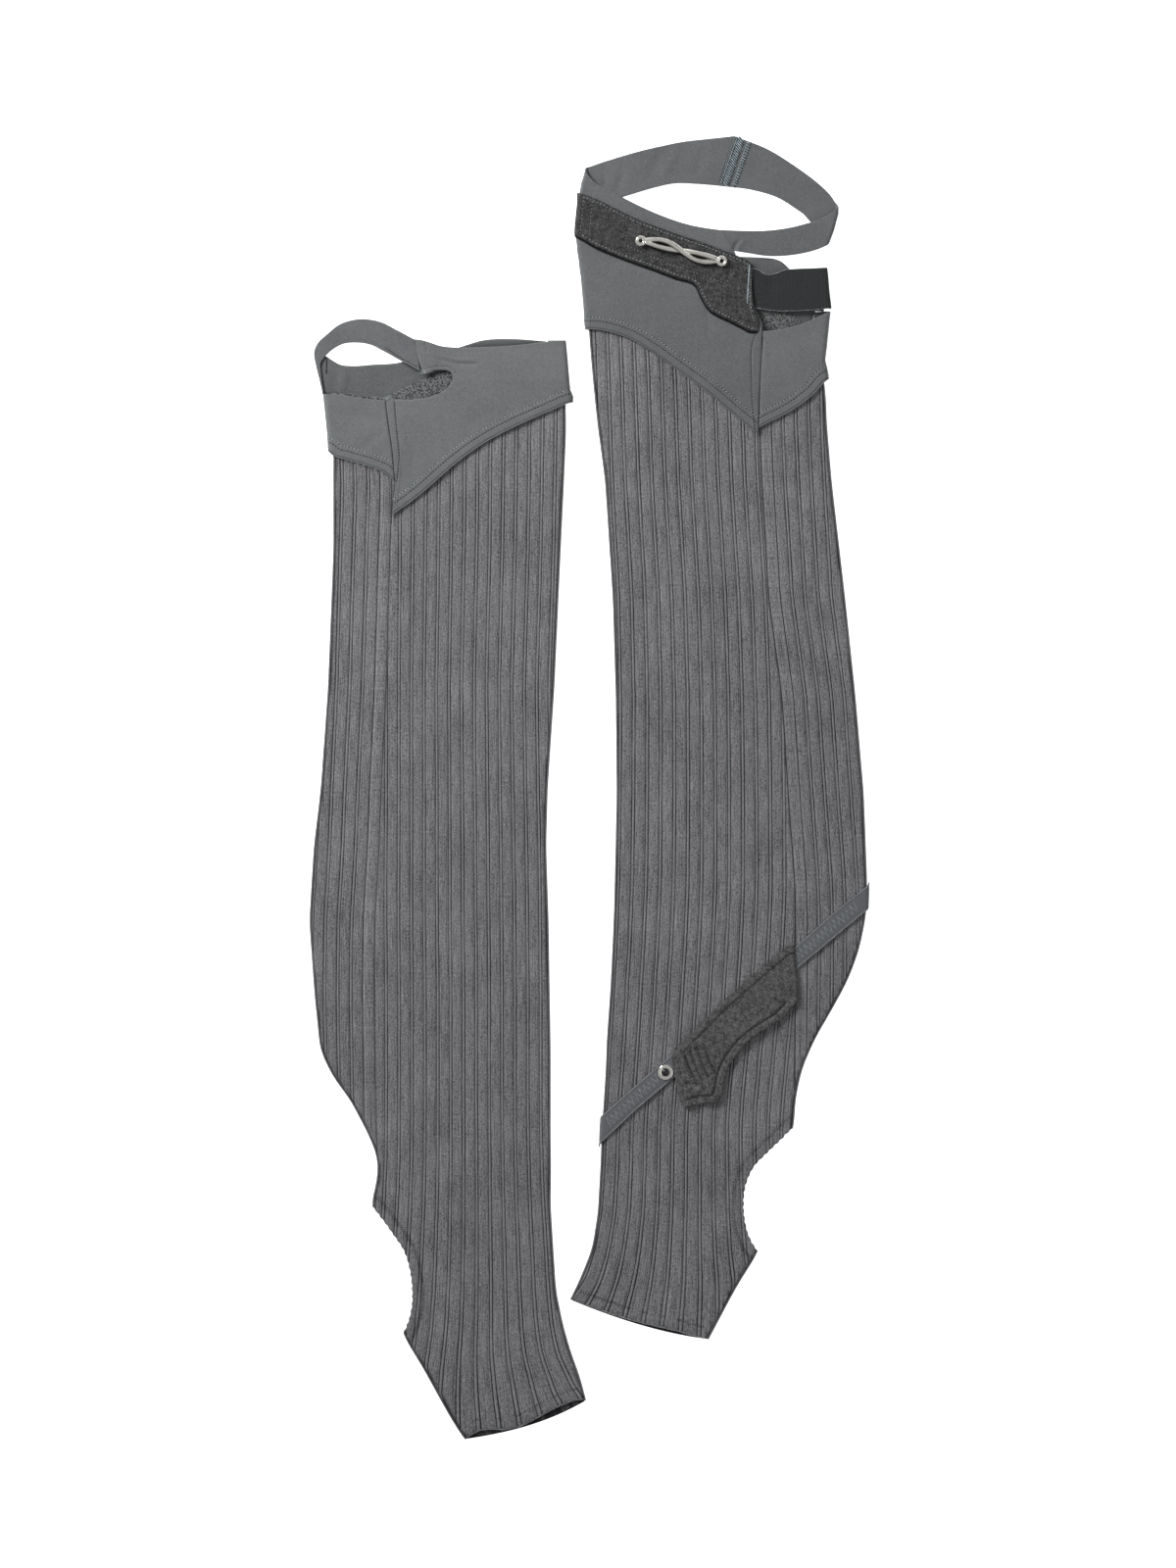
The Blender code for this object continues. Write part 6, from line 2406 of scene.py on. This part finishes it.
@dataclass
class CalfStrap:
    """The strap that crosses the right calf, its suede patch and its snap."""

    upper: Rows = (
        (147, -138.6, 145, -123), (153.7, -133, 153, -116.1), (179.6, -111.4, 179.6, -92.3),
        (202.6, -92.2, 203.6, -73), (204.6, -90.6, 205.8, -71.2), (206.8, -88.8, 208, -69.4),
    )
    lower: Rows = (
        (5.6, -264.6, 6.8, -243.4), (8, -262.4, 9.2, -241.2), (10.6, -260, 11.6, -239.2),
        (35.6, -236.7, 35.6, -217.9), (61.6, -214.3, 60.1, -197.1), (72, -205, 70, -188.6),
    )
    patch: Rows = (
        (65.4, -223, 61.2, -197.1), (69, -233.1, 64.8, -192.4), (82, -232.4, 70.9, -184.8),
        (93, -231.6, 79, -177), (97.4, -226.5, 87, -169), (100.7, -211.3, 94.5, -161.4),
        (106.9, -198.9, 107, -150), (119.5, -184.8, 122.6, -136.4), (132, -176.5, 133, -127.6),
        (143, -169, 142.9, -119.3), (153.7, -156.7, 150.7, -115.3),
    )
    pleats: Points = ((71, -197), (75, -194), (79.5, -191.5), (84.5, -188.5))
    creases: Creases = rows_of(Crease,
        (78, -196, 90, -218, 1, 1.6, -0.7), (72, -200, 78, -222, 1, 1.6, -0.6),
        (84, -192, 94, -210, 0.6, 1.4, -0.4), (88, -190, 98, -204, 0.6, 1.4, 0.3),
        (96, -210, 120, -176, -3, 2, 0.35),
    )
    snap: tuple[float, float] = (56.5, -209.3)
    washer: tuple[Turned, ...] = rows_of(Turned,
        (2.8, 0), (5.3, 0), (5.6, 0.15), (5.6, 0.4), (5.4, 0.62), (5, 0.72), (3.6, 0.72), (3.2, 0.55),
        (2.8, 0.3),
    )
    stud: tuple[Turned, ...] = rows_of(Turned,
        (0, 0), (2.6, 0), (2.62, 0.5), (2.5, 0.95), (2.1, 1.4), (1.4, 1.75), (0.7, 1.88), (0, 1.9),
    )

    def build(self, finishes: Finishes) -> None:
        """Makes the strap, patch and snap with their sewing.

        Args:
            finishes: the garment's finishes.
        """
        over = over_knit(RIGHT_LEVELS)
        form = Form(tuple(Fold(r.left_y, r.left_x - STRAP_ROOM) for r in RIGHT_RINGS),
                    tuple(Fold(r.right_y, r.right_x + STRAP_ROOM) for r in RIGHT_RINGS), level(0.0), over)
        self.build_strap(form, finishes)
        self.build_patch(form, finishes)
        low = float(over(np.array([self.snap[1]]))[0]) + ELASTIC + GAP
        self.turn("calf_snap_ring", "calf_snap_washer", self.washer, low, "silver", finishes.silver)
        self.turn("calf_snap_dome", "calf_snap_stud", self.stud, low, "dark_metal", finishes.enamel)

    def build_strap(self, form: Form, finishes: Finishes) -> None:
        """Makes the strap's two ends with their edging, zigzag and needle holes.

        Args:
            form: what it lies on.
            finishes: the garment's finishes.
        """
        edging = Sewing("calf_strap_edging", "grey_elastic", finishes.light, 61)
        zigzag = Sewing("calf_strap_zigzag", "grey_elastic", finishes.light, 62)
        # dark grains for the needle holes: painted shade in holes that are not cut
        holes = Sewing("calf_strap_needle_holes", "grey_elastic", finishes.dark, 63)
        straps = []
        for node, table in (("calf_strap_upper", self.upper), ("calf_strap_lower", self.lower)):
            strap = Cloth(node, "grey_elastic", form.layer(0.0, ELASTIC), ELASTIC, finishes.grey,
                          ("right_leg_cloth",), cut=Cut.BAND, layer="band", spacing=1.0).strips(table)
            low, high = strap.low_edge, strap.high_edge
            strap.relief = Relief(grooves=[(beside(low, 2.2), 0.45, 0.25), (beside(high, -2.2), 0.45, 0.25)],
                                  waves=0.0, seed=64)
            straps.append(strap.build())
            middle = (low + high) / 2
            middle = middle[(middle[:, 0] > ZIGZAG_ENDS[0]) & (middle[:, 0] < ZIGZAG_ENDS[1])]
            for path in (beside(low, 0.7), beside(high, -0.7)):
                edging.along(strap.on, path, Stitch(1.1, 1.25, 0.5, 0.36, -0.05))
            for lean, start in ((1.28, 0.5), (1.86, 1.0)):
                zigzag.along(strap.on, middle, Stitch(4.0, 8.6, 0.5, 0.3, 0.08, lean, start))
            holes.along(strap.on, beside(low, 2.2), Stitch(2.3, 0.8, 0.6, 0.3))
        straps[0].declare([sewing.build() for sewing in (edging, zigzag, holes)])
        straps[1].declare()

    def build_patch(self, form: Form, finishes: Finishes) -> None:
        """Makes the suede patch over the strap's ends.

        Args:
            form: what it lies on.
            finishes: the garment's finishes.
        """
        patch = Cloth("calf_patch", "suede", form.layer(ELASTIC + GAP, SUEDE), SUEDE, finishes.brushed,
                      ("calf_strap_upper_band", "calf_strap_lower_band"), layer="suede",
                      spacing=1.0).strips(self.patch)
        inset, deeper = (beside(patch.low_edge[12:-8], distance) for distance in (6.0, 6.6))
        upper = beside(patch.high_edge[8:-8], -5.2)
        # grooves that paint shade along the inset, the upper line, the patch's edge and its pleats
        grooves = [(inset, 0.9, 0.7), (upper, 0.7, 0.4), (patch.outlines[0], 0.9, 0.3)]
        for x, y in self.pleats:
            grooves.append((arc((x, y), (x + 3.4, y - 10.0), (x + 8.5, y - 21.0)), 1.0, 0.95))
        patch.relief = Relief(self.creases, grooves=grooves, waves=0.25, seed=65)
        patch.build()
        # dark grains for the needle holes: painted shade in holes that are not cut
        needle = Sewing("calf_patch_needle_holes", "suede", finishes.dark, 66)
        needle.along(patch.on, upper, Stitch(2.1, 1.4, 1.6, 0.9, 0.4))
        needle.along(patch.on, inset, Stitch(1.2, 1.5, 0.8, 0.6, 0.2))
        needle.along(patch.on, deeper, Stitch(2.0, 1.0, 0.7, 0.4, 0.1))
        nap = Sewing("calf_patch_nap", "suede", finishes.nap, 67, Grain.HAIR)
        brush(patch, nap, 1500, (3.0, 0.34, 0.18), -1.0)
        patch.declare([needle.build(), nap.build()])

    def turn(self, name: str, node: str, profile: tuple[Turned, ...], low: float, slot: str,
             finish: Material) -> None:
        """Turns a round piece of the snap from its profile.

        Args:
            name: the piece's name.
            node: the solid that it stands for.
            profile: the profile, from its foot.
            low: height of its foot.
            slot: its material slot; not used.
            finish: its finish.
        """
        centre = Vector(metres(np.array([self.snap[0], self.snap[1], low])))
        bm = bmesh.new()
        tone = bm.verts.layers.float.new("tone")
        verts = [bm.verts.new(centre + Vector((p.radius * MM, 0.0, p.height * MM))) for p in profile]
        for vert, point in zip(verts, profile):
            # painted shade at the foot of each turned piece
            vert[tone] = 0.35 if point.height < 0.2 else 0.95
        edges = [bm.edges.new(pair) for pair in zip(verts, verts[1:])]
        if profile[0].radius > 0:
            edges.append(bm.edges.new((verts[-1], verts[0])))
        bmesh.ops.spin(bm, geom=verts + edges, cent=centre, axis=(0, 0, 1), angle=math.tau, steps=40,
                       use_merge=True)
        bmesh.ops.remove_doubles(bm, verts=bm.verts, dist=1e-6)
        finish_piece(name, bm, finish, node, 50.0)


# ------------------------------------------------------------------------------ studio


@dataclass
class Studio:
    """Floor, camera and soft lights."""

    distance: float = 6.0
    frame_height: float = 1.152
    centre: tuple[float, float] = (-0.00091, 0.00198)
    floor_size: float = 14.0

    def build(self) -> None:
        """Makes them all."""
        self.build_floor()
        self.build_camera()
        self.build_lights()

    def build_floor(self) -> None:
        """Lays a plain pale floor."""
        bm = bmesh.new()
        bmesh.ops.create_grid(bm, x_segments=1, y_segments=1, size=self.floor_size)
        bmesh.ops.translate(bm, verts=bm.verts, vec=(0.0, 0.0, -0.0003))
        mesh = bpy.data.meshes.new("floor")
        bm.to_mesh(mesh)
        bm.free()
        floor = bpy.data.objects.new("floor", mesh)
        bpy.context.scene.collection.objects.link(floor)
        graph = Graph("floor")
        mesh.materials.append(graph.finish(shade(250, 250, 250), None, 0.0, 0.9, specular_ior_level=0.0,
                                           emission_color=(1.0, 1.0, 1.0), emission_strength=1.0))

    def build_camera(self) -> None:
        """Hangs a long lens straight over the pair."""
        data = bpy.data.cameras.new("camera")
        data.sensor_fit = "VERTICAL"
        data.sensor_height = 36.0
        data.lens = 36.0 * self.distance / self.frame_height
        data.clip_start, data.clip_end = 0.1, 50.0
        camera = bpy.data.objects.new("camera", data)
        camera.location = (*self.centre, self.distance)
        bpy.context.scene.collection.objects.link(camera)
        bpy.context.scene.camera = camera

    @staticmethod
    def build_lights() -> None:
        """Hangs large soft lights and a pale surround."""
        world = bpy.data.worlds.new("surround")
        world.use_nodes = True
        background = world.node_tree.nodes["Background"]
        background.inputs["Color"].default_value = (1.0, 1.0, 1.0, 1.0)
        background.inputs["Strength"].default_value = 0.27
        bpy.context.scene.world = world
        for name, place, size, power in (
                ("key", (-1.3, 1.3, 1.15), 0.7, 48.0), ("fill", (1.9, -0.6, 2.2), 2.0, 12.0)):
            data = bpy.data.lights.new(name, "AREA")
            data.shape = "SQUARE"
            data.size = size
            data.energy = power
            light = bpy.data.objects.new(name, data)
            light.location = place
            light.rotation_euler = (-Vector(place)).to_track_quat("-Z", "Y").to_euler()
            bpy.context.scene.collection.objects.link(light)
        bpy.context.scene.view_settings.view_transform = "Standard"


def main() -> None:
    """Builds the pair and the studio."""
    logging.basicConfig(level=logging.INFO, format="%(name)s: %(message)s")
    Studio().build()
    finishes = Finishes()
    legs = (
        (Leg("left_leg_cloth", "left_leg_knit", LEFT_RINGS, LEFT_LEVELS, 16, -1, LEFT_HEEL, LEFT_GAPS,
             LEFT_CREASES, 2.2), "left_yoke_back_cloth", 71),
        (Leg("right_leg_cloth", "right_leg_knit", RIGHT_RINGS, RIGHT_LEVELS, 14, 1, RIGHT_HEEL, RIGHT_GAPS,
             RIGHT_CREASES, 0.9), "right_yoke_back_cloth", 73))
    for leg, back, seed in legs:
        leg.build(finishes.knit)
        leg.declare([back], leg.sew(finishes, seed))
    LeftYoke().build(finishes)
    yoke = RightYoke()
    yoke.build(finishes)
    BeltSet().build(yoke.form(), finishes)
    CalfStrap().build(finishes)
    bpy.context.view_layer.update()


if __name__ == "__main__":
    main()
